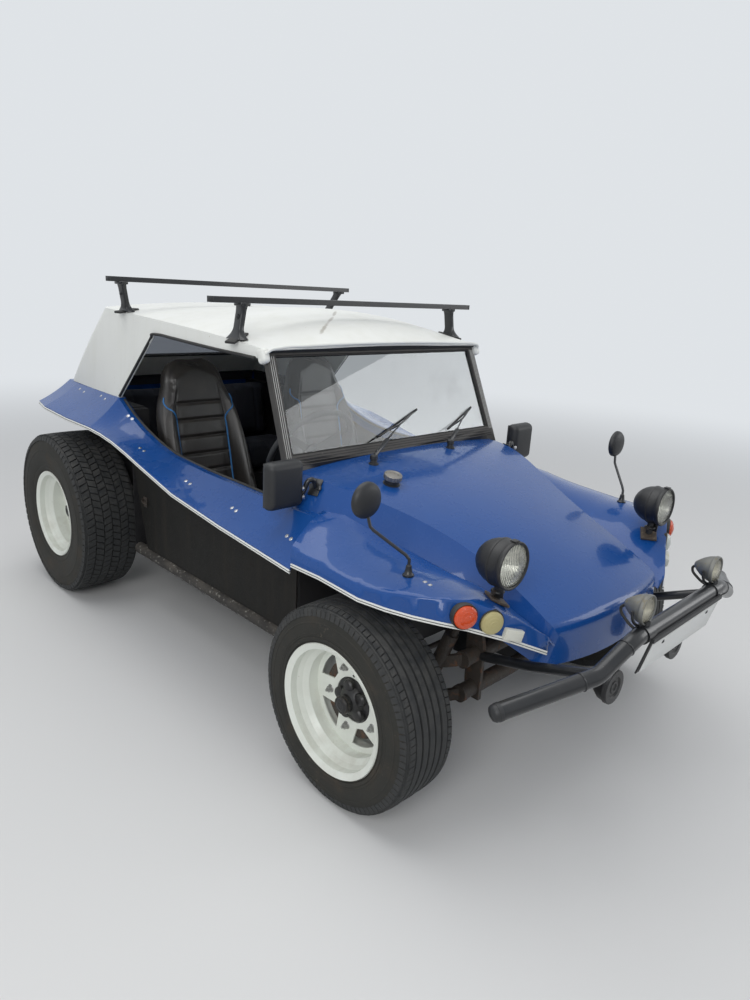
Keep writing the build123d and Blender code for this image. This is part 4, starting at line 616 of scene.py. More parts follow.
def wall_profile(half_rim, half_width, radius, crown, rings):
    """The outer wall from bead to shoulder; rings are (from, to, height) with fractions of the arc."""
    bead = (half_rim + 0.001, 0.21)
    shoulder = (crown + 0.008, radius - 0.014)
    widest = (half_width, (0.207 + shoulder[1]) / 2)
    points = []
    for step, (cx, cy, reach, angle) in enumerate(arc_through(bead, widest, shoulder, 60)):
        lift = -0.0025
        for low, high, height in rings:
            if low <= step / 60 <= high:
                lift = -0.0025 + height
        points.append((cx + (reach + lift) * cos(angle), cy + (reach + lift) * sin(angle)))
    points[0] = bead
    return points


def crown_radius(radius, crown, along):
    """The tread's radius at a place across it."""
    return radius - 0.003 * (along / crown) ** 2


# Columns: end of the car, axle height, distance, wheel x, half rim, half width, crown, tread depth
wheel_table = [
    ("front", 0.318, 0.0, 0.674, 0.1, 0.103, 0.085, 0.0065),
    ("rear", 0.385, 2032.0, 0.66, 0.12, 0.134, 0.116, 0.009),
]
# Columns: from, to, height in metres
wall_rings = [(0.03, 0.14, 0.0022), (0.2, 0.22, 0.001), (0.26, 0.28, 0.001), (0.6, 0.62, 0.0014),
              (0.84, 0.87, 0.0016), (0.93, 1.0, 0.0012)]
print("a front wall has", len(wall_profile(0.1, 0.103, 0.318, 0.085, wall_rings)), "points")

# %% [markdown]
# The front tread has straight ribs, so its grooves are part of the turned profile, and only the outer
# ribs are cut across. The rear tread is an all-terrain pattern: five rows of blocks. A row is a ring of
# faces spun round the axle; insetting each face by itself and lifting it leaves a groove on all sides,
# and a twist of the ring sets the blocks aslant, left and right in turn, so the grooves zigzag.


# %% Cut the treads
def blocks_row(left, right, count, depth, gap, twist, shift):
    """A ring of raised blocks between two (along, radius) edges."""
    shape = bmesh.new()
    ends = [shape.verts.new((along, 0, radius)) for along, radius in (left, right)]
    edge = shape.edges.new(ends)
    bmesh.ops.spin(shape, geom=ends + [edge], axis=(1, 0, 0), cent=(0, 0, 0), angle=2 * pi,
                   steps=count, use_merge=True)
    bmesh.ops.remove_doubles(shape, verts=shape.verts, dist=0.000001)
    bmesh.ops.recalc_face_normals(shape, faces=shape.faces)
    if shape.faces[:][0].normal.dot(shape.faces[:][0].calc_center_median()) < 0:
        bmesh.ops.reverse_faces(shape, faces=shape.faces)
    middle = (left[0] + right[0]) / 2
    for vert in shape.verts:
        turn_by = shift + (twist if vert.co.x > middle else -twist)
        vert.co = Matrix.Rotation(turn_by, 3, "X") @ vert.co
    bmesh.ops.inset_individual(shape, faces=shape.faces[:], thickness=gap / 2, depth=0)
    bmesh.ops.inset_individual(shape, faces=[f for f in shape.faces if len(f.edges) == 4 and
                                             all(not e.is_boundary for e in f.edges) and f.calc_area() >
                                             gap * gap * 6], thickness=0.0009, depth=depth)
    return shape


def on_wheel(shape, end, side, what, paint, **more):
    """Move a shape from the wheel's own place, outside along +X, to its wheel and hang it there."""
    row = [row for row in wheel_table if row[0] == end][0]
    centre = Vector((row[3], front_axle + row[2] / 1000, row[1]))
    bmesh.ops.translate(shape, vec=centre, verts=shape.verts)
    if side == "right":
        bmesh.ops.scale(shape, vec=(-1, 1, 1), verts=shape.verts)
    return hang(shape, f"{end}_{what}_{side}", paint, body=f"{end}_wheel_{side}", **more)


for end, radius, distance, wheel_x, half_rim, half_width, crown, depth in wheel_table:
    for side in ("left", "right"):
        wall = wall_profile(half_rim, half_width, radius, crown, wall_rings)
        floor_line = [(along, crown_radius(radius, crown, along) - depth) for along in (crown + 0.001, crown)]
        if end == "front":
            for inner, outer in ((0.041, 0.0635), (0.0145, 0.0365)):
                floor_line += [(outer - 0.0008, radius - depth - 0.001), (outer - 0.0018, radius - 0.0012),
                               (inner + 0.0018, radius - 0.0008), (inner + 0.0008, radius - depth - 0.001)]
            floor_line += [(0.0102, radius - depth - 0.001), (0.0092, radius - 0.0004)]
        half = [(half_rim - 0.009, 0.1908)] + wall + floor_line
        whole = half + [(-along, rad) for along, rad in reversed(half)] + [half[0]]
        carcass = turned(whole, steps=120)
        for face in carcass.faces:
            middle = face.calc_center_median()
            face.material_index = 1 if hypot(middle.y, middle.z) > radius - 0.017 else 0
        if end == "front":
            rows = [blocks_row((0.0645, radius - depth - 0.001), (crown, radius - depth - 0.003), 92,
                               depth - 0.0005, 0.0026, 0.006, 0.0),
                    blocks_row((-crown, radius - depth - 0.003), (-0.0645, radius - depth - 0.001), 92,
                               depth - 0.0005, 0.0026, -0.006, 0.017)]
        else:
            rows = []
            columns, count = 6, 74
            pitch = 2 * crown / columns
            for i in range(columns):
                low, high = -crown + pitch * i, -crown + pitch * (i + 1)
                edges = [(along, crown_radius(radius, crown, along) - depth) for along in (low, high)]
                rows.append(blocks_row(*edges, count, depth, 0.0056, 0.019 if i % 2 else -0.019,
                                       (pi / count) * (i % 2)))
        lug_count = 92 if end == "front" else 74
        lug_depth = 0.003 if end == "front" else 0.005
        for along_side in (-1, 1):
            lug_edges = [((crown + 0.0045) * along_side, radius - 0.0105),
                         ((crown + 0.01) * along_side, radius - 0.034)]
            if along_side > 0:
                lug_edges.reverse()
            lugs = blocks_row(*lug_edges, lug_count, lug_depth, 0.006 if end == "rear" else 0.004, 0.0, 0.02)
            rows.append(lugs)
        tread = joined(*rows)
        on_wheel(carcass, end, side, "tyre_wall", tyre_wall, stands_for=(end + "_tyre_" + side,), sharp=50,
                 more_paints=(tyre_tread,))
        on_wheel(tread, end, side, "tread", tyre_tread, sharp=30)

# %% [markdown]
# The rims keep their CAD shape, with its five windows. What makes a pressed wheel read as one is added:
# a rolled lip at both edges of the barrel, five plain wheel nuts on their studs between the windows, the
# rubber valve, and the hub. The hub is a black casting with five lobes round a ringed cap.


# %% Rim lips, nuts, valves and hubs
def ring_section(along, radius, thick, count=10):
    """The closed round section of a ring, for the lathe."""
    return [(along + thick * cos(2 * pi * i / count), radius + thick * sin(2 * pi * i / count))
            for i in range(count + 1)]


def on_disc(radius, angle, along=0.0):
    """A place on the wheel disc, from outside: the angle goes up from the rear of the wheel."""
    return Vector((along, radius * cos(radians(angle)), radius * sin(radians(angle))))


for end, radius, distance, wheel_x, half_rim, half_width, crown, depth in wheel_table:
    for side in ("left", "right"):
        lips = joined(turned(ring_section(half_rim - 0.0035, 0.206, 0.0036)),
                      turned(ring_section(-half_rim + 0.0035, 0.206, 0.0036)),
                      turned(ring_section(half_rim - 0.052, 0.1795, 0.0022)))
        on_wheel(lips, end, side, "rim_lips", rim_white, sharp=60)
        studs = []
        for i in range(5):
            angle = 175 + 36 + 72 * i
            place = on_disc(0.1025, angle, 0.0025)
            washer = pin(16, 0.015, 0.012, 0.004)
            nut = pin(6, 0.01, 0.01, 0.011, (0, 0, 0.0075))
            bmesh.ops.bevel(nut, geom=[e for e in nut.edges if e.calc_length() < 0.0105 and
                                       e.verts[0].co.z > 0.01 and e.verts[1].co.z > 0.01], offset=0.0018,
                            segments=2, profile=0.5, affect="EDGES", material=-1)
            stud = pin(12, 0.005, 0.0042, 0.012, (0, 0, 0.014))
            one = joined(washer, nut, stud)
            bmesh.ops.rotate(one, matrix=Matrix.Rotation(pi / 2, 3, "Y"), verts=one.verts)
            bmesh.ops.translate(one, vec=place, verts=one.verts)
            studs.append(one)
        on_wheel(joined(*studs), end, side, "wheel_nuts", aluminium, sharp=25)
        stem_base, stem_tip = on_disc(0.174, 118, half_rim - 0.052), on_disc(0.164, 118, half_rim - 0.02)
        valve = joined(wire([stem_base, stem_tip], 0.0042, 10, bends=False),
                       wire([stem_base, stem_base.lerp(stem_tip, 0.35)], 0.0068, 12, bends=False))
        on_wheel(valve, end, side, "valve", black_rubber, sharp=40)
        petals = []
        for i in range(5):
            petal = turned([(0.002, 0.0), (0.002, 0.0225), (0.005, 0.0262), (0.016, 0.025), (0.021, 0.02),
                            (0.023, 0.009), (0.023, 0.0)], steps=28)
            bmesh.ops.scale(petal, vec=(1, 0.8, 1), verts=petal.verts)
            bmesh.ops.rotate(petal, matrix=Matrix.Rotation(radians(72 * i + 60), 3, "X"),
                             verts=petal.verts)
            bmesh.ops.translate(petal, vec=on_disc(0.044, 72 * i + 150), verts=petal.verts)
            petals.append(petal)
        boss = turned([(-0.01, 0.0), (-0.01, 0.07), (0.0015, 0.07), (0.0035, 0.068), (0.006, 0.05),
                       (0.02, 0.042), (0.026, 0.033), (0.029, 0.029), (0.04, 0.0283),
                       (0.0412, 0.0262), (0.044, 0.0262), (0.0452, 0.028), (0.05, 0.0278),
                       (0.0528, 0.025), (0.0532, 0.0225), (0.052, 0.021), (0.054, 0.0165),
                       (0.0545, 0.012), (0.053, 0.01), (0.0534, 0.0)], steps=48)
        on_wheel(joined(boss, *petals), end, side, "hub", hub_black, sharp=30)
print("wheels dressed")

# %% [markdown]
# A white plastic bead with two rounded edges is clipped on the raw edge of the moulding, all along the
# fenders and the flanges. It hides the cut glass fibre. Each edge is a thin round wire, moved out from
# the lip by the run's own sideways direction, with a darker line between the two.


# %% Edge beads
def beside_run(points, out, up):
    """A run of places moved sideways, away from the car, and up."""
    moved = []
    for i, place in enumerate(points):
        ahead_place, behind_place = points[min(i + 1, len(points) - 1)], points[max(i - 1, 0)]
        along_run = ahead_place - behind_place
        sideways = Vector((along_run.y, -along_run.x, 0)).normalized()
        moved.append(place + sideways * out + Vector((0, 0, up)))
    return moved


fender_edge = [spot(*place) for place in (
    (368, -446, 563), (472, -390, 612), (594, -330, 662), (646, -286, 675), (687, -220, 681),
    (718, -150, 686), (740, -65, 690), (740, 100, 698), (740, 231, 695))]
side_edge = [spot(*place) for place in (
    (740, 238, 671), (740, 632, 704), (740, 949, 739), (740, 1198, 794), (740, 1313, 821),
    (740, 1433, 845), (740, 1540, 858), (740, 1641, 864), (740, 1901, 865), (738, 2150, 876),
    (716, 2274, 882))]
beads, gaps = [], []
for edge in (fender_edge, side_edge):
    beads.append(wire(beside_run(edge, 0.0018, 0.0035), 0.003, 8, bends=False))
    beads.append(wire(beside_run(edge, 0.0016, -0.0035), 0.003, 8, bends=False))
    gaps.append(wire(beside_run(edge, 0.0016, 0.0), 0.0022, 6, bends=False))
hang(both_sides(joined(*beads)), "edge_beads", white_trim, sharp=60)
hang(both_sides(joined(*gaps)), "edge_bead_grooves", black_rubber, sharp=60)
print("bead length in metres:", round(sum((b - a).length for a, b in zip(side_edge, side_edge[1:])), 2))

# %% [markdown]
# Bright dome rivets in pairs hold the sill boxes to the body. Their places come from the photograph, and
# each is turned on the lathe round the panel's own direction, so the head lies flat on the moulding.


# %% Rivets, and the latch on the side panel
def rivet(place, normal, radius):
    """A dome head on a thin washer."""
    profile = [(-0.001, 0.0), (-0.001, radius * 1.5), (0.0008, radius * 1.45), (0.001, radius),
               (0.0024, radius * 0.72), (0.0031, 0.0)]
    return turned(profile, steps=14, middle=place, axis=normal)


rivet_radius = 0.0048
fender_rivet_radius = 0.0045
pair_step = (4, 3)  # pixels from the first rivet of a pair to the second
latch_pixel = (146, 502)
fender_rivet_pixels = [(425, 582), (430, 585)]
pairs_at = [(80, 389), (101, 396), (128, 416), (140, 448), (186, 481), (232, 508), (287, 536)]
heads = []
for px, py in pairs_at:
    for pixel in ((px, py), (px + pair_step[0], py + pair_step[1])):
        place, normal = on_panel("body_shell", pixel)
        if place:
            heads.append(rivet(place, normal, rivet_radius))
for pixel in fender_rivet_pixels:
    place, normal = on_panel("front_fenders", pixel)
    if place:
        heads.append(rivet(place, normal, fender_rivet_radius))
hang(both_sides(joined(*heads)), "body_rivets", chrome, sharp=30)

latch_place, latch_normal = on_panel("side_panels", latch_pixel)
latch_turn = latch_normal.to_track_quat("Z", "Y").to_matrix()
latch_handle = [(-0.006, 0.02, 0.01), (-0.018, -0.004, 0.004), (-0.01, -0.03, -0.004)]
latch = joined(block((0.03, 0.046, 0.005), 0.002, latch_place + latch_normal * 0.002, latch_turn),
               wire([latch_place + Vector(step) for step in latch_handle], 0.0035),
               rivet(latch_place + Vector((-0.003, 0.012, 0.012)), latch_normal, 0.004),
               rivet(latch_place + Vector((-0.003, -0.012, -0.012)), latch_normal, 0.004))
hang(both_sides(latch), "side_latches", rusty_steel)
print("rivets:", 2 * len(heads))

# %% [markdown]
# The hardtop is moulded with a rolled lip that hooks over the screen's header and wraps down at both
# corners. A soft black rubber bead covers the raw edge of each side opening. The opening's edge is found
# by sight lines from the side, so that the bead follows the wall of the roof as it leans.


# %% Roof lip and opening beads
def beside(node_name, distance, z):
    """Where a level line from the car's left meets a CAD piece."""
    start = Vector((1.5, front_axle + distance / 1000, z / 1000))
    hit, place, normal, face = nodes[node_name].ray_cast(start, Vector((-1, 0, 0)))
    return place if hit else Vector((0.59, start.y, start.z))


lip_half = [spot(*place) for place in (
    (0, 596, 1309), (200, 596, 1308), (400, 598, 1303), (520, 600, 1298), (556, 604, 1290), (570, 614, 1272),
    (574, 622, 1252))]
lip_line = [Vector((-p.x, p.y, p.z)) for p in reversed(lip_half[1:])] + lip_half
lip_lift = Vector((0, 0, 0.0035))
lip_radius = 0.0058
corner_lean = Matrix.Rotation(-radians(22.3), 3, "X")
lip = wire([place + lip_lift for place in lip_line], lip_radius, 14)
corners = [block((0.032, 0.042, 0.052), 0.013, spot(side * 565, 627, 1273), corner_lean, segments=4)
           for side in (-1, 1)]
hang(joined(lip, *corners), "roof_front_lip", white_top, sharp=60)

# A black strip fills the gap between the screen frame's top and the roof lip: painted shade under the lip.
header = bmesh.new()
tops = [header.verts.new(place + Vector((0, 0.012, 0.001))) for place in lip_line[2:-2]]
edges = [header.edges.new(pair) for pair in zip(tops, tops[1:])]
grown = bmesh.ops.extrude_edge_only(header, edges=edges)["geom"]
for vert in (part for part in grown if isinstance(part, bmesh.types.BMVert)):
    vert.co.y, vert.co.z = spot(0, 621, 0).y, 1.2835
bmesh.ops.solidify(header, geom=header.faces[:], thickness=0.004)
hang(header, "roof_lip_gap_shade_strip", black_rubber, sharp=60)

streak_pixels = [(336, 311), (333, 317), (327, 324), (321, 333)]
streak_width, streak_colour = 0.009, (0.36, 0.33, 0.28)
streak = [on_panel("hardtop", pixel)[0] for pixel in streak_pixels]
for start, end in zip(streak, streak[1:]):
    stain(white_top, start, end, streak_width, streak_colour)

opening = [(640, 1267), (800, 1270), (1000, 1277), (1200, 1284), (1315, 1287), (1348, 1284), (1366, 1275),
           (1410, 1230), (1500, 1139), (1600, 1038), (1640, 997)]
opening_line = [beside("hardtop", distance, z) + Vector((0.0015, 0, 0)) for distance, z in opening]
hang(both_sides(wire(opening_line, 0.0058, 10)), "opening_beads", black_rubber, sharp=60)
print("opening bead points:", len(opening_line))

# %% [markdown]
# The screen sits in a black frame with a rubber glazing strip on both faces of the glass. Three thin
# aluminium strips run up each pillar and the foot bar has pressed ribs. All of it is laid out on the
# screen's own plane: across, up the slope, and out towards the nose.

# %% Screen trim
rake = radians(22.3)


def on_screen(across_mm, up_mm, out_mm):
    """A place on the screen's plane, in metres."""
    foot = spot(0, 480, 924)
    slope = Vector((0, sin(rake), cos(rake)))
    outward = Vector((0, -cos(rake), sin(rake)))
    return foot + Vector((across_mm / 1000, 0, 0)) + slope * (up_mm / 1000) + outward * (out_mm / 1000)


def screen_side(up_mm, inset):
    """How far out the frame's edge is at a height, drawn in by an inset."""
    return 574 - (574 - 553) * up_mm / 390 - inset


def raised_top(node_name):
    """A copy of a screen piece whose opening reaches 24 mm higher, as the photograph shows it."""
    shape = bmesh.new()
    shape.from_mesh(nodes[node_name].data)
    bmesh.ops.transform(shape, matrix=nodes[node_name].matrix_world, verts=shape.verts)
    bmesh.ops.remove_doubles(shape, verts=shape.verts, dist=0.00001)
    slope = Vector((0, sin(rake), cos(rake)))
    for vert in shape.verts:
        if 0.34 < (vert.co - spot(0, 480, 924)).dot(slope) < 0.37:
            vert.co += slope * 0.024
    return shape


hang(raised_top("windscreen_frame"), "screen_frame", frame_paint, stands_for=("windscreen_frame",))
hang(raised_top("windscreen_glass"), "screen_pane", screen_glass, stands_for=("windscreen_glass",))

glazing = []
for out_mm in (-7, -17):
    corners = [(-screen_side(36, 36), 37), (screen_side(36, 36), 37), (screen_side(378, 36), 377),
               (-screen_side(378, 36), 377)]
    glazing.append(wire([on_screen(x, up, out_mm) for x, up in corners], 0.0042, 8, bends=False, closed=True))
hang(joined(*glazing), "screen_glazing_strips", black_rubber, sharp=60)

strips, ribs = [], []
for side in (-1, 1):
    for inset in (9, 17, 25):
        strips.append(wire([on_screen(side * screen_side(24, inset), 24, 1.2),
                            on_screen(side * screen_side(376, inset), 376, 1.2)], 0.0013, 8, bends=False))
for up in (-2, 8, 18, 27):
    ribs.append(wire([on_screen(-screen_side(up, 14), up, 0.4), on_screen(screen_side(up, 14), up, 0.4)],
                     0.002, 6, bends=False))
hang(joined(*strips), "pillar_strips", aluminium, sharp=60)
hang(joined(*ribs), "screen_frame_ribs", frame_paint, sharp=60)
print("screen trim pieces:", len(strips) + len(ribs))

# %% [markdown]
# A lamp is a set of turned parts on one axis: the painted bowl with its seam ring and rim, a silvered
# reflector, a bulb and a domed glass. The flutes that spread the light are pressed into the glass as
# upright waves, so they are fine relief on the lens; everything bigger is turned.


# %% Headlamps
def flutes(paint, pitch, strength):
    """Upright waves in a glass, as relief."""
    tree = paint.node_tree
    where = add_node(tree, "ShaderNodeTexCoord").outputs["Object"]
    waves = add_node(tree, "ShaderNodeTexWave", {"Vector": where, "Scale": pitch}, bands_direction="X")
    bump = add_node(tree, "ShaderNodeBump", {"Height": waves.outputs["Fac"], "Strength": strength,
                                             "Distance": 0.002})
    tree.links.new(bump.outputs["Normal"], tree.nodes["Principled BSDF"].inputs["Normal"])


def strap(a, b, width, thick, corner=0.001):
    """A flat bar between two places."""
    run = b - a
    return block((run.length, width, thick), corner, (a + b) / 2, run.to_track_quat("X", "Z").to_matrix())


def dropped_on(node_name, x, distance):
    """The place and direction of a CAD piece's upper surface, found by a line from above."""
    start = spot(x, distance, 2000)
    hit, place, normal, face = nodes[node_name].ray_cast(start, Vector((0, 0, -1)))
    return place, normal


flutes(lamp_glass, 45.0, 0.25)
backward = (0, 1, 0)
head_at = spot(462, -358, 820)
bowl = turned([(-0.006, 0.0606), (-0.012, 0.0612), (-0.0145, 0.064), (-0.0145, 0.0668), (-0.012, 0.069),
               (-0.002, 0.0693), (0.001, 0.067), (0.003, 0.0658), (0.016, 0.0672), (0.0285, 0.0672),
               (0.0296, 0.0688), (0.0345, 0.0686), (0.0356, 0.0664), (0.054, 0.062), (0.068, 0.0556),
               (0.08, 0.0472), (0.09, 0.0366), (0.0975, 0.024), (0.1015, 0.012), (0.103, 0.0)],
              72, head_at, backward)
rim_clip = strap(head_at + Vector((-0.01, -0.006, 0.071)), head_at + Vector((0.01, -0.006, 0.071)),
                 0.018, 0.004)
mirror_bowl = turned([(-0.0062, 0.0604), (0.004, 0.059), (0.02, 0.0525), (0.034, 0.04),
                      (0.044, 0.024), (0.048, 0.01), (0.0485, 0.0)], 48, head_at, backward)
bulb = turned([(0.015, 0.0), (0.0165, 0.005), (0.022, 0.0075), (0.03, 0.007), (0.034, 0.005),
               (0.048, 0.005)], 20, head_at, backward)
dome = turned([(-0.0205, 0.0), (-0.0198, 0.015), (-0.018, 0.03), (-0.0148, 0.045), (-0.01, 0.0602),
               (-0.0072, 0.0602), (-0.012, 0.045), (-0.0152, 0.03), (-0.017, 0.015), (-0.0177, 0.0)],
              64, head_at, backward)
foot_at, foot_way = dropped_on("front_fenders", 462, -325)
foot_turn = foot_way.to_track_quat("Z", "Y").to_matrix()
stem_top = spot(462, -328, 757)
clamp_at = foot_at.lerp(stem_top, 0.55)
stem = joined(wire([foot_at + Vector((0, 0, 0.004)), stem_top], 0.0115, 16, bends=False),
              turned(ring_section(0.0, 0.015, 0.005), 32, clamp_at, (0, 0, 1)),
              strap(foot_at.lerp(stem_top, 0.3) + Vector((0.008, -0.013, 0)),
                    foot_at.lerp(stem_top, 0.95) + Vector((0.012, -0.012, 0)), 0.024, 0.004))
clamp_bolt = pin(6, 0.007, 0.007, 0.044, clamp_at, Matrix.Rotation(pi / 2, 3, "Y"))
lamp_foot = block((0.056, 0.062, 0.009), 0.003, foot_at + foot_way * 0.004, foot_turn)
old_paint = finish("rusty_foot_pad", (0.07, 0.052, 0.038), 0.6, tint=0.3,
                   layers=[blotches(70, 0.4, (0.16, 0.12, 0.08), 0.8)], grain=(300, 0.4, 0.001))
hang(both_sides(joined(bowl, rim_clip)), "headlamp_bowls", lamp_black, stands_for=("lamp_shells",), sharp=40)
hang(both_sides(stem), "headlamp_stems", lamp_black, sharp=40)
hang(both_sides(clamp_bolt), "headlamp_bolts", rusty_steel, sharp=25)
hang(both_sides(lamp_foot), "headlamp_feet", old_paint)
hang(both_sides(mirror_bowl), "headlamp_reflectors", reflector_silver, sharp=60)
hang(both_sides(bulb), "headlamp_bulbs", white_trim, sharp=60)
hang(both_sides(dome), "headlamp_glasses", lamp_glass, stands_for=("lamp_lenses",), sharp=60)
print("headlamp foot at", [round(v, 3) for v in foot_at])

# %% [markdown]
# Two small spot lamps stand on the bumper: a faded shell with a bright rim, a yellowed glass, a bracket
# strap under the bowl, a saddle round the tube and a cable that runs down behind it.

# %% Spot lamps
flutes(spot_glass, 90.0, 0.4)
spot_at = spot(232, -639, 731)
small_bowl = turned([(-0.006, 0.0372), (-0.013, 0.0376), (-0.015, 0.0395), (-0.015, 0.0415),
                     (-0.013, 0.043), (-0.004, 0.043), (-0.002, 0.041), (0.004, 0.04),
                     (0.016, 0.036), (0.03, 0.028), (0.04, 0.0205), (0.046, 0.015),
                     (0.052, 0.01), (0.054, 0.006), (0.0545, 0.0)], 56, spot_at, backward)
small_mirror = turned([(-0.0062, 0.037), (0.004, 0.0345), (0.016, 0.027), (0.025, 0.014), (0.027, 0.0)],
                      40, spot_at, backward)
small_dome = turned([(-0.0188, 0.0), (-0.018, 0.015), (-0.015, 0.028), (-0.011, 0.037),
                     (-0.0085, 0.037), (-0.0125, 0.0275), (-0.0155, 0.015), (-0.0162, 0.0)],
                    48, spot_at, backward)
tube_at = spot(232, -650, 663)
cradle = wire([spot_at + Vector(step) for step in (
    (-0.044, 0.012, 0), (-0.04, 0.008, -0.026), (-0.02, 0.002, -0.044), (0, -0.002, -0.046),
    (0.02, 0.002, -0.044), (0.04, 0.008, -0.026), (0.044, 0.012, 0))], 0.004, 8)
saddle = turned([(-0.02, 0.0235), (-0.02, 0.0262), (0.02, 0.0262), (0.02, 0.0235), (-0.02, 0.0235)],
                48, tube_at, (1, 0, 0))
post = wire([tube_at + Vector((0, 0, 0.02)), spot_at + Vector((0, -0.009, -0.038))], 0.0075, 14, bends=False)
lock_nut = pin(6, 0.0125, 0.0125, 0.01, tube_at + Vector((0, 0, 0.03)))
cable = wire([spot_at + Vector((0.004, 0.05, -0.004)), spot(237, -578, 712), spot(240, -600, 684),
              spot(243, -630, 668)], 0.0042, 8)
hang(both_sides(small_bowl), "spot_lamp_bowls", spot_grey, sharp=40)
hang(both_sides(small_mirror), "spot_lamp_reflectors", reflector_silver, sharp=60)
hang(both_sides(small_dome), "spot_lamp_glasses", spot_glass, sharp=60)
hang(both_sides(joined(cradle, saddle, post, lock_nut)), "spot_lamp_brackets", black_steel, sharp=35)
hang(both_sides(cable), "spot_lamp_cables", black_rubber, sharp=60)
print("spot lamps at", [round(v, 3) for v in spot_at])

# %% [markdown]
# The lamps on the fenders are moulded lenses with rings pressed into them, which scatter the light. The
# orange one is the indicator. The pale one beside it has yellowed on the car's right side and stayed
# clear on the left. A white reflector sits inside them, tilted like the bead below it.

# %% Indicators, side lamps and reflectors
face_way = Vector((0.44, -0.898, 0)).normalized()
ringed_lens = [(0.002, 0.0335), (0.01, 0.0328), (0.014, 0.03), (0.0146, 0.0285), (0.016, 0.0278),
               (0.0184, 0.0225), (0.0188, 0.0208), (0.02, 0.02), (0.0212, 0.013), (0.0214, 0.0112),
               (0.0224, 0.0104), (0.023, 0.0)]
lens_rim = [(-0.014, 0.0), (-0.014, 0.0368), (0.0045, 0.0368), (0.0065, 0.0352), (0.005, 0.033)]
orange_at, pale_at = spot(607, -331, 702), spot(527, -360, 673)
hang(both_sides(turned(ringed_lens, 56, orange_at, face_way)), "indicator_lenses", orange_lens,
     stands_for=("indicator_lamps",), sharp=28)
pale_right = turned(ringed_lens, 56, pale_at, face_way)
bmesh.ops.scale(pale_right, vec=(-1, 1, 1), verts=pale_right.verts)
hang(pale_right, "side_lens_right", cream_lens, stands_for=("side_lamps",), sharp=28)
hang(turned(ringed_lens, 56, pale_at, face_way), "side_lens_left", clear_lens, sharp=28)
hang(both_sides(joined(turned(lens_rim, 56, orange_at, face_way), turned(lens_rim, 56, pale_at, face_way))),
     "lens_rims", black_rubber, sharp=35)
across_face = Vector((0.898, 0.44, 0)).normalized()
face_turn = Matrix((across_face, -face_way, Vector((0, 0, 1)))).transposed()
face_turn = face_turn @ Matrix.Rotation(radians(-14), 3, "Y")
tile_at = spot(468, -391, 632)
hang(both_sides(joined(block((0.058, 0.024, 0.033), 0.003, tile_at + face_way * 0.004, face_turn),
                       block((0.05, 0.004, 0.025), 0.001, tile_at + face_way * 0.0165, face_turn))),
     "front_reflectors", white_reflector)
rear_ribs = [(-0.002, 0.0)] + [(along, radius) for along, radius in (
    (-0.002, 1.0), (0.02, 1.0), (0.026, 0.94), (0.0275, 0.8), (0.029, 0.78), (0.0305, 0.62),
    (0.0318, 0.6), (0.0328, 0.4), (0.0334, 0.38), (0.0338, 0.0))]
for x, radius, paint, name in ((470, 0.04, red_lens, "tail"), (375, 0.034, orange_lens, "rear_indicator")):
    profile = [(along, share * (radius - 0.002)) for along, share in rear_ribs]
    base = [(-0.001, 0.0), (-0.001, radius), (0.008, radius), (0.01, radius - 0.003)]
    lamp_at = spot(x, 2276, 905)
    hang(both_sides(turned(profile, 48, lamp_at, backward)), name + "_lenses", paint,
         stands_for=("tail_lamps",) if name == "tail" else (), sharp=28)
    hang(both_sides(turned(base, 48, lamp_at, backward)), name + "_rims", black_rubber, sharp=35)
print("small lamps made")

# %% [markdown]
# The bumper tube keeps its CAD bends. A domed plug closes each end, a ring of weld stands at each bend,
# and the blank plate hangs under a folded channel with two screws. Two disc horns hang behind it.

# %% Bumper, plate and horns
end_at, bend_at = spot(692, -521, 547), spot(430, -632, 598)
outward = (end_at - bend_at).normalized()
plug = turned([(-0.006, 0.0), (-0.006, 0.0238), (0.004, 0.0238), (0.005, 0.0228), (0.012, 0.0222),
               (0.017, 0.019), (0.02, 0.012), (0.0208, 0.0)], 36, end_at, outward)
middle_at = spot(285, -650, 663)
weld_way = (bend_at - middle_at).normalized()
welds = [turned(ring_section(0.0, 0.0232, 0.0022), 36, bend_at.lerp(end_at, 0.17), outward),
         turned(ring_section(0.0, 0.0232, 0.0022), 36, middle_at.lerp(bend_at, 0.24), weld_way)]
hang(both_sides(plug), "bumper_end_plugs", black_plastic, sharp=35)
hang(both_sides(joined(*welds)), "bumper_welds", black_steel, sharp=60)
plate_lean = Matrix.Rotation(radians(13.9), 3, "X")
plate_at = spot(0, -664.5, 592)
plate = block((0.452, 0.0022, 0.1), 0.0009, plate_at, plate_lean)
rim_line = [plate_at + plate_lean @ Vector((x, -0.0012, z)) for x, z in (
    (-0.221, -0.045), (0.221, -0.045), (0.221, 0.045), (-0.221, 0.045))]
hang(joined(plate, wire(rim_line, 0.0012, 6, bends=False, closed=True)), "blank_plate", plate_white, sharp=50)
screws = [rivet(plate_at + plate_lean @ Vector((x, -0.001, 0.03)), Vector((0, -0.97, -0.24)), 0.0045)
          for x in (-0.15, 0.15)]
hang(joined(*screws), "plate_screws", black_plastic)
horn_at = spot(205, -575, 455)
horn_face = turned([(-0.006, 0.0), (-0.006, 0.01), (-0.009, 0.012), (-0.009, 0.018),
                    (-0.006, 0.02), (-0.006, 0.03), (-0.01, 0.033), (-0.01, 0.05),
                    (-0.008, 0.052),
                    (0.004, 0.052), (0.008, 0.049), (0.024, 0.046), (0.04, 0.034), (0.048, 0.014),
                    (0.048, 0.0)], 48, horn_at, backward)
horn_strap = strap(spot(205, -640, 648), spot(205, -571, 486), 0.018, 0.004)
hang(both_sides(joined(horn_face, horn_strap)), "disc_horns", lamp_black, stands_for=("horns",))
print("plate at", [round(v, 3) for v in plate_at])

# %% [markdown]
# Four mirrors hang on the car. The square ones have a moulded shell with a soft bulge, a recessed glass
# and a bolted bracket on the cowl. The round ones are turned, and stand on bent stalks with a rubber boot.

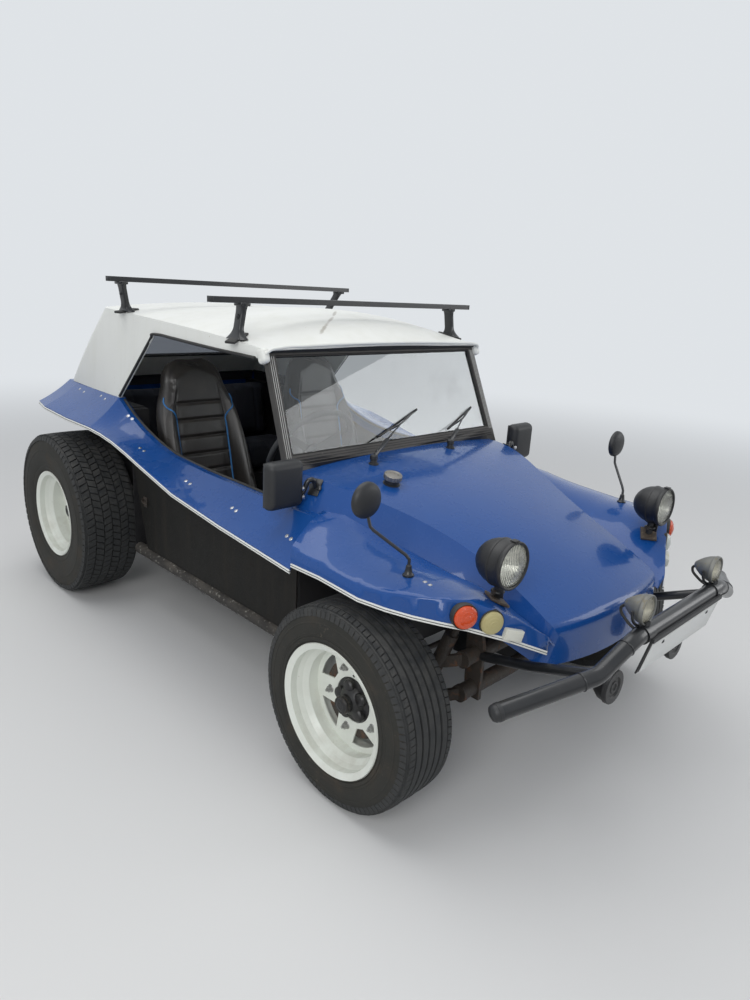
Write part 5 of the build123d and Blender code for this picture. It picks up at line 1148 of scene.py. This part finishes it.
# %% Mirrors
shell_at = spot(650, 394, 895)
shell = block((0.14, 0.052, 0.16), 0.02, shell_at, segments=5)
for vert in shell.verts:
    depth = (shell_at.y + 0.026 - vert.co.y) / 0.052
    vert.co.x = shell_at.x + (vert.co.x - shell_at.x) * (1 - 0.1 * depth ** 2)
    vert.co.z = shell_at.z + (vert.co.z - shell_at.z) * (1 - 0.1 * depth ** 2)
frame_rim = [Vector((shell_at.x + x, shell_at.y + 0.0235, shell_at.z + z)) for x, z in (
    (-0.06, -0.07), (0.06, -0.07), (0.06, 0.07), (-0.06, 0.07))]
shell_rim = wire(frame_rim, 0.0035, 8, bends=False, closed=True)
square_glass = block((0.116, 0.003, 0.136), 0.001, shell_at + Vector((0, 0.0262, 0)))
bracket_at, bracket_way = dropped_on("bonnet", 535, 372)
pad_turn = bracket_way.to_track_quat("Z", "Y").to_matrix()
bracket = joined(block((0.04, 0.06, 0.005), 0.002, bracket_at + bracket_way * 0.003, pad_turn),
                 wire([bracket_at, bracket_at + Vector((0.02, 0.0, 0.03)), spot(592, 388, 852),
                       spot(610, 392, 866)], 0.0085, 12),
                 strap(spot(588, 384, 836), spot(592, 386, 892), 0.03, 0.008, 0.003),
                 rivet(bracket_at + bracket_way * 0.005 + Vector((0, 0.02, 0)), bracket_way, 0.006),
                 rivet(bracket_at + bracket_way * 0.005 + Vector((0, -0.02, 0)), bracket_way, 0.006))
bolts = joined(rivet(spot(586, 370, 850), Vector((-0.3, -1, 0)), 0.0055),
               rivet(spot(588, 370, 878), Vector((-0.3, -1, 0)), 0.0055))
round_at = spot(697, -39, 960)
round_shell = turned([(-0.0145, 0.0), (-0.014, 0.015), (-0.0118, 0.032), (-0.0075, 0.044),
                      (-0.0005, 0.0503), (0.005, 0.052), (0.0105, 0.0516), (0.0122, 0.0495),
                      (0.0105, 0.0478), (0.0105, 0.0)], 56, round_at, backward)
round_glass = turned([(0.01, 0.0), (0.0108, 0.047), (0.0112, 0.047), (0.0116, 0.0)], 48, round_at,
                     backward)
stalk_foot = dropped_on("front_fenders", 616, -132)[0]
stalk = joined(wire([stalk_foot, spot(616, -132, 800), spot(622, -124, 812), spot(682, -53, 876),
                     spot(688, -45, 886), spot(697, -36, 935)], 0.0048, 12, bends=False),
               turned([(-0.004, 0.0), (-0.004, 0.0165), (0.004, 0.0165), (0.008, 0.012), (0.018, 0.0095),
                       (0.03, 0.0078), (0.032, 0.0052)], 28, stalk_foot, (0, 0, 1)),
               turned([(-0.011, 0.0), (-0.008, 0.0075), (0, 0.0108), (0.008, 0.0075), (0.011, 0.0)], 20,
                      spot(697, -30, 936), (0, 0, 1)))
hang(both_sides(joined(shell, shell_rim, round_shell)), "mirror_shells", black_plastic,
     stands_for=("mirrors",), sharp=45)
hang(both_sides(joined(square_glass, round_glass)), "mirror_glasses", mirror_glass)
hang(both_sides(joined(bracket, stalk)), "mirror_arms", black_steel, sharp=40)
hang(both_sides(bolts), "mirror_bolts", chrome)
print("mirror stalk foot at", [round(v, 3) for v in stalk_foot])

# %% [markdown]
# Each wiper has a splined boss, a broad lower arm, a thin sprung rod and a bridge that presses the rubber
# on the glass. The blades lie flat on the screen's plane, so they are laid out on it.


# %% Wipers
def on_glass(x, z, out_mm):
    """A place in front of the glass at this height."""
    return on_screen(x, (z - 924 - (out_mm - 9.5) * sin(rake)) / cos(rake), out_mm - 9.5)


# Columns: pivot x, pivot distance, then x and height of the blade's two ends
wiper_table = [(-253, 393, -125, 975, 120, 1056), (190, 410, 276, 966, 459, 1040)]
arms, rubbers, bosses = [], [], []
for x, distance, start_x, start_z, end_x, end_z in wiper_table:
    foot, way = dropped_on("bonnet", x, distance)
    blade_start, blade_end = on_glass(start_x, start_z, 9), on_glass(end_x, end_z, 9)
    blade_middle = on_glass((start_x + end_x) / 2, (start_z + end_z) / 2, 20)
    pivot = foot + Vector((0, 0, 0.026))
    knee = pivot.lerp(blade_middle, 0.45) + Vector((0, -0.006, 0.01))
    bosses.append(turned([(-0.004, 0.0), (-0.004, 0.0185), (0.003, 0.018), (0.005, 0.013), (0.016, 0.012),
                          (0.018, 0.0145), (0.03, 0.014), (0.033, 0.011), (0.034, 0.0)], 28, foot,
                         (0, 0, 1)))
    yokes = [blade_start.lerp(blade_end, share) for share in (0.02, 0.2, 0.36, 0.64, 0.8, 0.98)]
    lifted = [yokes[1] + Vector((0, -0.005, 0.003)), yokes[4] + Vector((0, -0.005, 0.003))]
    arms += [strap(pivot, knee, 0.016, 0.007, 0.002), wire([knee, blade_middle], 0.0032, 8, bends=False),
             wire([lifted[0], blade_middle, lifted[1]], 0.0036, 8),
             wire([yokes[0], lifted[0], yokes[2]], 0.0028, 8),
             wire([yokes[3], lifted[1], yokes[5]], 0.0028, 8)]
    rubbers.append(strap(on_glass(start_x, start_z, 5), on_glass(end_x, end_z, 5), 0.0045, 0.0085, 0.0012))
hang(joined(*arms), "wiper_arms", black_steel, stands_for=("wipers",))
hang(joined(*rubbers), "wiper_rubbers", black_rubber)
hang(joined(*bosses), "wiper_bosses", black_plastic)
print("wipers:", len(wiper_table))

# %% [markdown]
# The fuel cap is a turned neck with a knurled metal cap. Knurling is made by drawing every second row of
# the rim's corners in a little, which leaves flat-sided ribs that fingers can grip.

# %% Fuel cap
cap_at, cap_way = dropped_on("bonnet", -312, 243)
neck = turned([(-0.01, 0.0), (-0.01, 0.03), (0.001, 0.03), (0.0015, 0.025), (0.024, 0.0245),
               (0.024, 0.0)], 40, cap_at, cap_way)
knob = turned([(0.018, 0.0), (0.018, 0.03), (0.0195, 0.0318), (0.033, 0.0318), (0.035, 0.03),
               (0.0358, 0.024), (0.0345, 0.0215), (0.0352, 0.015), (0.0365, 0.0)], 48)
for vert in knob.verts:
    reach = hypot(vert.co.y, vert.co.z)
    step = round(atan2(vert.co.z, vert.co.y) / (2 * pi / 48))
    if reach > 0.031 and step % 2:
        vert.co.y *= 0.955
        vert.co.z *= 0.955
knob_turn = cap_way.to_track_quat("X", "Z").to_matrix().to_4x4()
bmesh.ops.transform(knob, matrix=Matrix.Translation(cap_at) @ knob_turn, verts=knob.verts)
dull_cap = finish("dull_ribbed_cap", (0.3, 0.29, 0.27), 0.32, tint=0.3,
                  layers=[blotches(70, 0.4, (0.1, 0.085, 0.07), 0.6), dust(0.4)],
                  grain=(400, 0.3, 0.0006), plain={"Metallic": 0.8})
hang(neck, "fuel_neck", black_plastic, sharp=35)
hang(knob, "fuel_cap_knob", dull_cap, stands_for=("fuel_cap",), sharp=20)
print("fuel cap at", [round(v, 3) for v in cap_at])

# %% [markdown]
# The roof bars are square tubes with plastic plugs. Each stands on two pressed feet whose blade flares
# into a wide base. The blade starts as a cube that is sliced level many times; every slice then takes
# its own length, thickness and lean, as the press gave them.


# %% Feet and plugs of the roof bars
def bar_foot(base, top, lift):
    """A pressed foot from its base place up to its top place."""
    shape = bmesh.new()
    bmesh.ops.create_cube(shape, size=1)
    bmesh.ops.bevel(shape, geom=[e for e in shape.edges if abs(e.verts[0].co.z - e.verts[1].co.z) > 0.5],
                    offset=0.18, segments=3, profile=0.5, affect="EDGES", material=-1)
    for i in range(1, 14):
        bmesh.ops.bisect_plane(shape, geom=shape.verts[:] + shape.edges[:] + shape.faces[:],
                               plane_co=(0, 0, -0.5 + (i / 14) ** 1.6), plane_no=(0, 0, 1))
    for vert in shape.verts:
        height = vert.co.z + 0.5
        flare = max(0.0, 1 - height / 0.34) ** 2
        crest = max(0.0, (height - 0.86) / 0.14)
        length = 0.04 + 0.052 * flare + 0.016 * crest
        thick = 0.022 + 0.02 * flare + 0.006 * crest
        at = base.lerp(top, height)
        vert.co = Vector((at.x + vert.co.x * thick, at.y + vert.co.y * length, at.z + lift * (1 - height)))
    return shape


# Columns: bar distance, bar top, bar half length, base x, base distance, neck x
rack_table = [(776, 1457, 677, 582, 776, 548), (1579, 1499, 657, 566, 1632, 598)]
feet, plugs, pads = [], [], []
for distance, top, half, base_x, base_distance, neck_x in rack_table:
    place, way = dropped_on("hardtop", base_x - 12, base_distance)
    neck = spot(neck_x, distance, top - 20)
    feet.append(bar_foot(place, neck, 0.0))
    lean = way.to_track_quat("Z", "Y").to_matrix()
    pads.append(block((0.04, 0.106, 0.01), 0.004, place + way * 0.003, lean))
    feet.append(block((0.04, 0.046, 0.012), 0.003, neck + Vector((0, 0, -0.004))))
    feet.append(rivet(place.lerp(neck, 0.62) + Vector((0.013, 0, 0)), Vector((1, 0, 0)), 0.007))
    plugs.append(block((0.01, 0.031, 0.0195), 0.003, spot(half - 4, distance, top - 10)))
hang(both_sides(joined(*feet)), "rack_feet", black_steel, stands_for=("bar_feet",), sharp=50)
hang(both_sides(joined(*pads)), "rack_pads", black_rubber)
hang(both_sides(joined(*plugs)), "rack_plugs", black_plastic)
print("rack feet:", 2 * len(rack_table))

# %% [markdown]
# The seats are tall vinyl buckets with wings from the shoulders to the cushion. One is built as rings
# round a bent spine, from the cushion's front edge back and up to the head, so its width, thickness and
# wings can be read from one table. The rings are bridged, and the shape is a little lean, because
# stuffing makes it swell.


# %% The bucket seat's form
# Columns: metres behind the front axle, height, half width, half thickness, wing
seat_spine = [
    (0.915, 0.398, 0.186, 0.048, 0.022), (0.96, 0.402, 0.205, 0.058, 0.038),
    (1.06, 0.396, 0.209, 0.055, 0.052), (1.17, 0.39, 0.209, 0.051, 0.066),
    (1.262, 0.39, 0.208, 0.049, 0.086), (1.332, 0.412, 0.206, 0.049, 0.11),
    (1.374, 0.474, 0.205, 0.048, 0.124), (1.396, 0.562, 0.204, 0.046, 0.122),
    (1.414, 0.67, 0.204, 0.044, 0.104), (1.434, 0.79, 0.204, 0.042, 0.08),
    (1.452, 0.89, 0.203, 0.04, 0.056), (1.468, 0.975, 0.19, 0.038, 0.034),
    (1.48, 1.056, 0.162, 0.036, 0.016), (1.489, 1.118, 0.142, 0.033, 0.006),
    (1.495, 1.158, 0.112, 0.026, 0.0), (1.499, 1.178, 0.066, 0.014, 0.0),
]


def smooth_step(value, low, high):
    """0 below low, 1 above high, and a soft curve between."""
    share = min(1.0, max(0.0, (value - low) / (high - low)))
    return share * share * (3 - 2 * share)


def station(table, where):
    """A row of the table at a fractional place, on a smooth curve through the rows."""
    i = min(int(where), len(table) - 2)
    t = where - i
    before, a, b, after = (table[max(0, min(len(table) - 1, i + k))] for k in (-1, 0, 1, 2))
    return [0.5 * (2 * q + (r - p) * t + (2 * p - 5 * q + 4 * r - s) * t * t + (3 * q - p - 3 * r + s) * t**3)
            for p, q, r, s in zip(before, a, b, after)]


def spine_frame(table, where):
    """The spine's place, its direction towards the sitter, and the row, at a fractional place."""
    row = station(table, where)
    low, high = station(table, max(0, where - 0.05)), station(table, min(len(table) - 1, where + 0.05))
    run = Vector((0, high[0] - low[0], high[1] - low[1])).normalized()
    return Vector((0, front_axle + row[0], row[1])), Vector((0, -run.z, run.y)), row


def ring_of(shape, table, where, count=44):
    """One closed ring of the seat, flat behind and winged in front; gives back its edges."""
    middle, towards, (_, _, half, thick, wing) = spine_frame(table, where)
    ring = []
    for i in range(count):
        c, s = cos(2 * pi * i / count), sin(2 * pi * i / count)
        x = half * (1 if c > 0 else -1) * abs(c) ** 0.55
        out = thick * (1 if s > 0 else -1) * abs(s) ** 0.62
        raised = wing * smooth_step(abs(x) / half, 0.56, 0.84)
        out += raised * (1 if s > 0 else 0.45)
        ring.append(shape.verts.new(middle + Vector((x, 0, 0)) + towards * out))
    return [shape.edges.new((ring[i], ring[(i + 1) % count])) for i in range(count)]


bucket = bmesh.new()
rings = [ring_of(bucket, seat_spine, i * (len(seat_spine) - 1) / 56) for i in range(57)]
for ring, following in zip(rings, rings[1:]):
    bmesh.ops.bridge_loops(bucket, edges=ring + following)
bmesh.ops.holes_fill(bucket, edges=rings[0] + rings[-1], sides=0)
bmesh.ops.recalc_face_normals(bucket, faces=bucket.faces)
print("seat form faces:", len(bucket.faces))

# %% [markdown]
# Stuffing is simulated: the form is remeshed in even small faces, and the cloth is blown up from inside
# for twenty frames with no gravity. The pressure alone would push it much too far, so each point's move
# is cut off at a cap. Four points in five or more end at that cap, so the swell is nearly even all over
# and the pad keeps its size. What a sewing machine does comes afterwards, as a remesh would erase it.

# %% Stuff a form
def stuffed(shape, name, voxel, swell):
    """A form remeshed and blown up as cloth; gives back a bmesh with the swollen places."""
    mesh = bpy.data.meshes.new(name)
    shape.to_mesh(mesh)
    shape.free()
    form = bpy.data.objects.new(name, mesh)
    scene.collection.objects.link(form)
    form.modifiers.new("even", "REMESH").voxel_size = voxel
    even = bpy.data.meshes.new_from_object(form.evaluated_get(bpy.context.evaluated_depsgraph_get()))
    form.modifiers.clear()
    form.data = even
    at_rest = [v.co.copy() for v in even.vertices]
    cloth = form.modifiers.new("cloth", "CLOTH")
    cloth.settings.quality = 4
    cloth.settings.mass = 0.3
    cloth.settings.tension_stiffness = cloth.settings.compression_stiffness = 18
    cloth.settings.bending_stiffness = 2.0
    cloth.settings.use_pressure = True
    cloth.settings.uniform_pressure_force = 4.0
    cloth.settings.effector_weights.gravity = 0.0
    cloth.collision_settings.use_collision = False
    cloth.point_cache.frame_start, cloth.point_cache.frame_end = 1, 20
    for frame_number in range(1, 21):
        scene.frame_set(frame_number)
    blown = bpy.data.meshes.new_from_object(form.evaluated_get(bpy.context.evaluated_depsgraph_get()))
    moves = [v.co - rest for v, rest in zip(blown.vertices, at_rest)]
    print(name, "widest move in mm:", round(1000 * max(m.length for m in moves), 1))
    for vert, rest, move in zip(blown.vertices, at_rest, moves):
        vert.co = rest + (move if move.length < swell else move.normalized() * swell)
    form.modifiers.clear()
    form.data = blown
    scene.frame_set(1)
    pad = bmesh.new()
    pad.from_mesh(form.data)
    bpy.data.objects.remove(form)
    return pad


def pad_object(pad, name, paint, stands_for=()):
    """The finished pad, hung on its body."""
    piece = hang(pad, name, paint, stands_for=stands_for, sharp=70)
    return piece


pad = stuffed(bucket, "bucket", 0.0075, 0.014)
bmesh.ops.subdivide_edges(pad, edges=pad.edges[:], cuts=1, use_grid_fill=True, smooth=0.4)
bmesh.ops.smooth_vert(pad, verts=pad.verts[:], factor=0.5, use_axis_x=True, use_axis_y=True, use_axis_z=True)
pad.normal_update()
print("seat pad faces:", len(pad.faces))

# %% [markdown]
# The middle panel is sewn across in channels, and blue piping is sewn down both of its edges, from the
# shoulders to the cushion. Each point of the pad asks where it lies along the spine. Near a seam it is
# drawn in towards the spine; the piping is laid on the surface where a line from the sitter meets it.

# %% Sew the seats
samples = [(i / 8, *spine_frame(seat_spine, i / 8)) for i in range(8 * (len(seat_spine) - 1) + 1)]
lengths = [0.0]
for one, two in zip(samples, samples[1:]):
    lengths.append(lengths[-1] + (two[1] - one[1]).length)
# Columns: length along the spine in metres, with the cushion's front edge at 0
channels = [0.115, 0.205, 0.295, 0.56, 0.635, 0.71, 0.785, 0.86, 0.935, 1.01]
panel_edge = 0.6
for vert in pad.verts:
    best = min(range(len(samples)), key=lambda k: hypot(samples[k][1].y - vert.co.y,
                                                        samples[k][1].z - vert.co.z))
    where, middle, towards, row = samples[best]
    facing_out = vert.normal.dot(towards)
    if facing_out < 0.15:
        continue
    along_spine = lengths[best] + (vert.co - middle).dot(Vector((0, towards.z, -towards.y)))
    share = abs(vert.co.x) / row[2]
    inside = 1 - smooth_step(share, panel_edge - 0.05, panel_edge)
    dip = sum(0.006 * 2.718 ** (-((along_spine - seam) / 0.0062) ** 2) for seam in channels) * inside
    dip += 0.0065 * 2.718 ** (-((abs(vert.co.x) - panel_edge * row[2]) / 0.0058) ** 2) * smooth_step(
        1.1 - along_spine, 0.0, 0.06)
    vert.co -= towards * dip * min(1.0, facing_out * 1.4)
seat_mesh = bpy.data.meshes.new("sewn")
pad.to_mesh(seat_mesh)
sewn = bpy.data.objects.new("sewn", seat_mesh)
scene.collection.objects.link(sewn)
bpy.context.view_layer.update()
piping = []
for side in (-1, 1):
    line = []
    for i in range(9, len(samples) - 28, 2):
        where, middle, towards, row = samples[i]
        share = panel_edge + 0.3 * smooth_step(row[1], 0.9, 0.99)
        hit, place, normal, face = sewn.ray_cast(
            middle + Vector((side * share * row[2], 0, 0)) + towards * 0.22, -towards)
        if hit:
            line.append(place + towards * 0.0012)
    piping.append(wire(line, 0.0034, 8))
pipes = joined(*piping)
bpy.data.objects.remove(sewn)
for side, name in ((-1, "driver"), (1, "passenger")):
    for shape, stem, paint in ((pad.copy(), "seat_pad_", seat_leather),
                               (pipes.copy(), "seat_piping_", blue_piping)):
        bmesh.ops.translate(shape, vec=(side * 0.338, 0, 0), verts=shape.verts)
        if stem == "seat_pad_":
            pad_object(shape, stem + name, paint, stands_for=("seat_" + name,))
        else:
            hang(shape, stem + name, paint, sharp=70)
pad.free()
pipes.free()
print("seats sewn, piping points:", len(line))

# %% [markdown]
# Behind the buckets a padded bench fills the shelf over the gearbox: a seat pad and a leaning back pad in
# dark cloth. Both are stuffed the same way and then sewn with upright channels.

# %% Bench
bench_seat = block((0.9, 0.285, 0.118), 0.034, spot(0, 1803, 616), Matrix.Rotation(radians(-4), 3, "X"), 4)
bench_back = block((0.9, 0.078, 0.305), 0.034, spot(0, 2034, 815), Matrix.Rotation(radians(-9), 3, "X"), 4)
for shape, name, sunk in ((bench_seat, "bench_seat_pad", Vector((0, 0, -1))),
                          (bench_back, "bench_back_pad", Vector((0, 1, 0)))):
    bench_pad = stuffed(shape, name, 0.0075, 0.012)
    for vert in bench_pad.verts:
        if vert.normal.dot(sunk) < -0.2:
            seam = abs((vert.co.x + 0.06) % 0.12 - 0.06)
            vert.co += sunk * 0.0075 * 2.718 ** (-(seam / 0.008) ** 2)
    pad_object(bench_pad, name, dark_cloth, stands_for=("rear_seat",) if name == "bench_seat_pad" else ())
print("bench made")

# %% [markdown]
# The rear window sits in a black rubber strip with rounded corners, one bead on each face of the roof.
# Inside the body a dark lining hides the blue moulding behind the bench, and a rubber strip runs along
# the inner edge of each sill. The window's strip is laid out on the roof's sloping back.


# %% Rear window rubber, lining and sill strips
def on_back(across_mm, up_mm, out_mm):
    """A place on the roof's sloping back: across, up the slope and out, in millimetres."""
    slope, outward = Vector((0, -0.733, 0.68)), Vector((0, 0.68, 0.733))
    return spot(across_mm, 2272, 990) + slope * (up_mm / 1000) + outward * (out_mm / 1000)


def rounded_line(half, low, high, corner, out_mm):
    """A closed run of places round a window with rounded corners."""
    line = []
    for x, up, start in ((half - corner, high - corner, 0), (-half + corner, high - corner, 90),
                         (-half + corner, low + corner, 180), (half - corner, low + corner, 270)):
        for step in range(6):
            angle = radians(start + step * 18)
            line.append(on_back(x + corner * cos(angle), up + corner * sin(angle), out_mm))
    return line


window_line = (411, 184, 481, 41)  # half width, low edge, high edge and corner, in millimetres
beads = [wire(rounded_line(*window_line, out_mm), 0.0062, 10, bends=False, closed=True)
         for out_mm in (1.5, -6.5)]
hang(joined(*beads), "rear_window_rubber", black_rubber, sharp=60)

lining = [block((1.06, 0.004, 0.048), 0.001, spot(0, 2266, 967))]
for side in (-1, 1):
    lining.append(block((0.004, 0.42, 0.048), 0.001, spot(side * 533, 2054, 967)))
lining.append(wire([spot(-532, 1860, 991), spot(-532, 2261, 991), spot(532, 2261, 991), spot(532, 1860, 991)],
                   0.0065, 8, bends=False))
hang(joined(*lining), "rear_lining", dark_cloth, sharp=60)

sill_edge = [spot(*place) for place in (
    (577, 548, 803), (577, 632, 806), (577, 949, 810), (577, 1198, 824), (578, 1313, 846),
    (580, 1433, 884), (583, 1540, 931), (586, 1622, 984))]
hang(both_sides(wire(sill_edge, 0.006, 10)), "sill_edge_strips", black_rubber, sharp=60)
print("rear window strip points:", len(rounded_line(*window_line, 0)))

# %% [markdown]
# The engine is an air-cooled flat four, and its small parts are what makes it read as one: the thin
# push-rod tubes under the cylinders, the belt between crank and generator pulleys, the distributor with
# its four leads, a round air cleaner on one carburettor, and sheet-metal screws on the fan housing.
# Tubes and leads are bent wires and everything round is turned.


# %% Engine details
def from_behind(node_name, x, z):
    """Where a level line from behind the car meets a CAD piece."""
    start = Vector((x / 1000, front_axle + 3.2, z / 1000))
    hit, place, normal, face = nodes[node_name].ray_cast(start, Vector((0, -1, 0)))
    return (place, normal) if hit else (None, None)


tubes, plugs, leads = [], [], []
cap_foot = spot(-70, 2484, 574)
for side in (-1, 1):
    for distance in (2298, 2334, 2413, 2449):
        tubes.append(wire([spot(side * 118, distance, 312), spot(side * 296, distance, 336)], 0.0085, 10))
    for distance in (2316, 2431):
        plugs.append(turned([(0, 0.0), (0, 0.012), (0.018, 0.011), (0.022, 0.007), (0.034, 0.01),
                             (0.05, 0.009), (0.052, 0.0)], 14, spot(side * 322, distance, 438),
                            (side * -0.2, 0, 1)))
        bend_x = 110 if side > 0 else -130
        leads.append(wire([cap_foot + Vector((side * 0.014, 0, 0.034)), spot(-70 + side * 35, 2462, 596),
                           spot(bend_x, 2455, 552), spot(side * 240, 2452, 500),
                           spot(side * 314, distance, 486)], 0.0035, 8))
hang(joined(*tubes), "push_rod_tubes", bare_steel, sharp=60)
distributor = turned([(-0.072, 0.0), (-0.072, 0.017), (-0.02, 0.017), (-0.014, 0.028), (0.01, 0.029),
                      (0.014, 0.025), (0.026, 0.023), (0.03, 0.009), (0.04, 0.008), (0.041, 0.0)], 24,
                     cap_foot, (0, 0, 1))
hang(joined(distributor, *plugs, *leads), "ignition_leads", black_plastic, sharp=45)

belt_line = []
for z, radius, start in ((385, 87, 180), (700, 75, 0)):
    for step in range(10):
        angle = radians(start + 20 * step)
        belt_line.append(spot(radius * cos(angle), 2567, z + radius * sin(angle)))
hang(wire(belt_line, 0.0052, 8, bends=False, closed=True), "fan_belt", black_rubber, sharp=60)
faces = []
for z, distance, radius in ((385, 2575, 0.082), (700, 2590, 0.07)):
    face = [(0.0, radius), (0.003, radius), (0.004, radius - 0.006), (0.0008, radius - 0.01),
            (0.0008, radius * 0.42), (0.004, radius * 0.38), (0.004, 0.015), (0.012, 0.0145),
            (0.013, 0.012), (0.013, 0.0)]
    faces.append(turned(face, 48, spot(0, distance, z), (0, 1, 0)))
hang(joined(*faces), "pulley_faces", bare_steel, sharp=40)

screws = []
for x, z in ((-275, 640), (-275, 535), (-232, 745), (-140, 806), (0, 814), (140, 806), (232, 745),
             (275, 640), (275, 535), (-95, 535), (95, 535)):
    place, normal = from_behind("fan_shroud", x, z)
    if place:
        screws.append(rivet(place, normal, 0.006))
hang(joined(*screws), "fan_housing_screws", bare_steel, sharp=30)
print("push-rod tubes:", len(tubes), " housing screws:", len(screws))

# %% [markdown]
# The carburettor stands on the inlet pipe behind the fan housing with a flat round air cleaner on top.
# Two steel bands hold the silencer, and each tail pipe ends in a dark, sooty bore with a thin bright rim.

# %% Carburettor, air cleaner and silencer bands
carburettor = turned([(-0.06, 0.0), (-0.06, 0.024), (-0.052, 0.026), (-0.05, 0.018), (-0.01, 0.018),
                      (-0.004, 0.03), (0.04, 0.03), (0.046, 0.024), (0.06, 0.024), (0.06, 0.0)], 28,
                     spot(142, 2516, 562), (0, 0, 1))
float_bowl = block((0.052, 0.04, 0.046), 0.008, spot(180, 2516, 572))
inlet = wire([spot(70, 2490, 498), spot(142, 2516, 498), spot(230, 2490, 480), spot(330, 2452, 434)],
             0.014, 12)
hang(joined(carburettor, float_bowl, inlet), "carburettor", cast_case, sharp=40)
cleaner = turned([(0.0, 0.0), (0.0, 0.058), (0.004, 0.066), (0.01, 0.068), (0.012, 0.06), (0.036, 0.06),
                  (0.038, 0.068), (0.044, 0.066), (0.05, 0.05), (0.053, 0.012), (0.062, 0.01),
                  (0.062, 0.0)], 48, spot(142, 2516, 621), (0, 0, 1))
hang(cleaner, "air_cleaner", chrome, sharp=35)

bands, bores = [], []
for side in (-1, 1):
    bands.append(turned([(-0.01, 0.0455), (-0.01, 0.049), (0.01, 0.049), (0.01, 0.0455)], 40,
                        spot(side * 190, 2574, 246), (1, 0, 0)))
    bands.append(block((0.02, 0.012, 0.016), 0.003, spot(side * 190, 2574, 301)))
    pipe_way = Vector((0, 58, -20)).normalized()
    pipe_end = spot(side * 110, 2630.4, 226.6)
    bands.append(turned([(-0.004, 0.0166), (-0.004, 0.018), (0.0012, 0.018), (0.0012, 0.015),
                         (0.0002, 0.0148)], 28, pipe_end, pipe_way))
    bores.append(turned([(0.0002, 0.0), (0.0006, 0.0149), (0.0002, 0.015)], 28, pipe_end, pipe_way))
hang(joined(*bands), "silencer_bands", exhaust_steel, sharp=40)
hang(joined(*bores), "tail_pipe_bores", black_rubber, sharp=40)
print("silencer bands and tail pipe rims:", len(bands))

# %% [markdown]
# The fenders are one hand-polished moulding, so light slides over their soft creases without a break. A
# merged copy of the panel takes the CAD piece's place, with every gentle angle shaded smooth and only
# the real edges left sharp. This comes last, because the fittings above find their places on the panel.

# %% Polished fenders
skin_shape = bmesh.new()
skin_shape.from_mesh(nodes["front_fenders"].data)
bmesh.ops.transform(skin_shape, matrix=nodes["front_fenders"].matrix_world, verts=skin_shape.verts)
fender_skins = hang(skin_shape, "fender_skins", blue_paint, sharp=40, stands_for=("front_fenders",))
print("fender faces:", len(fender_skins.data.polygons))
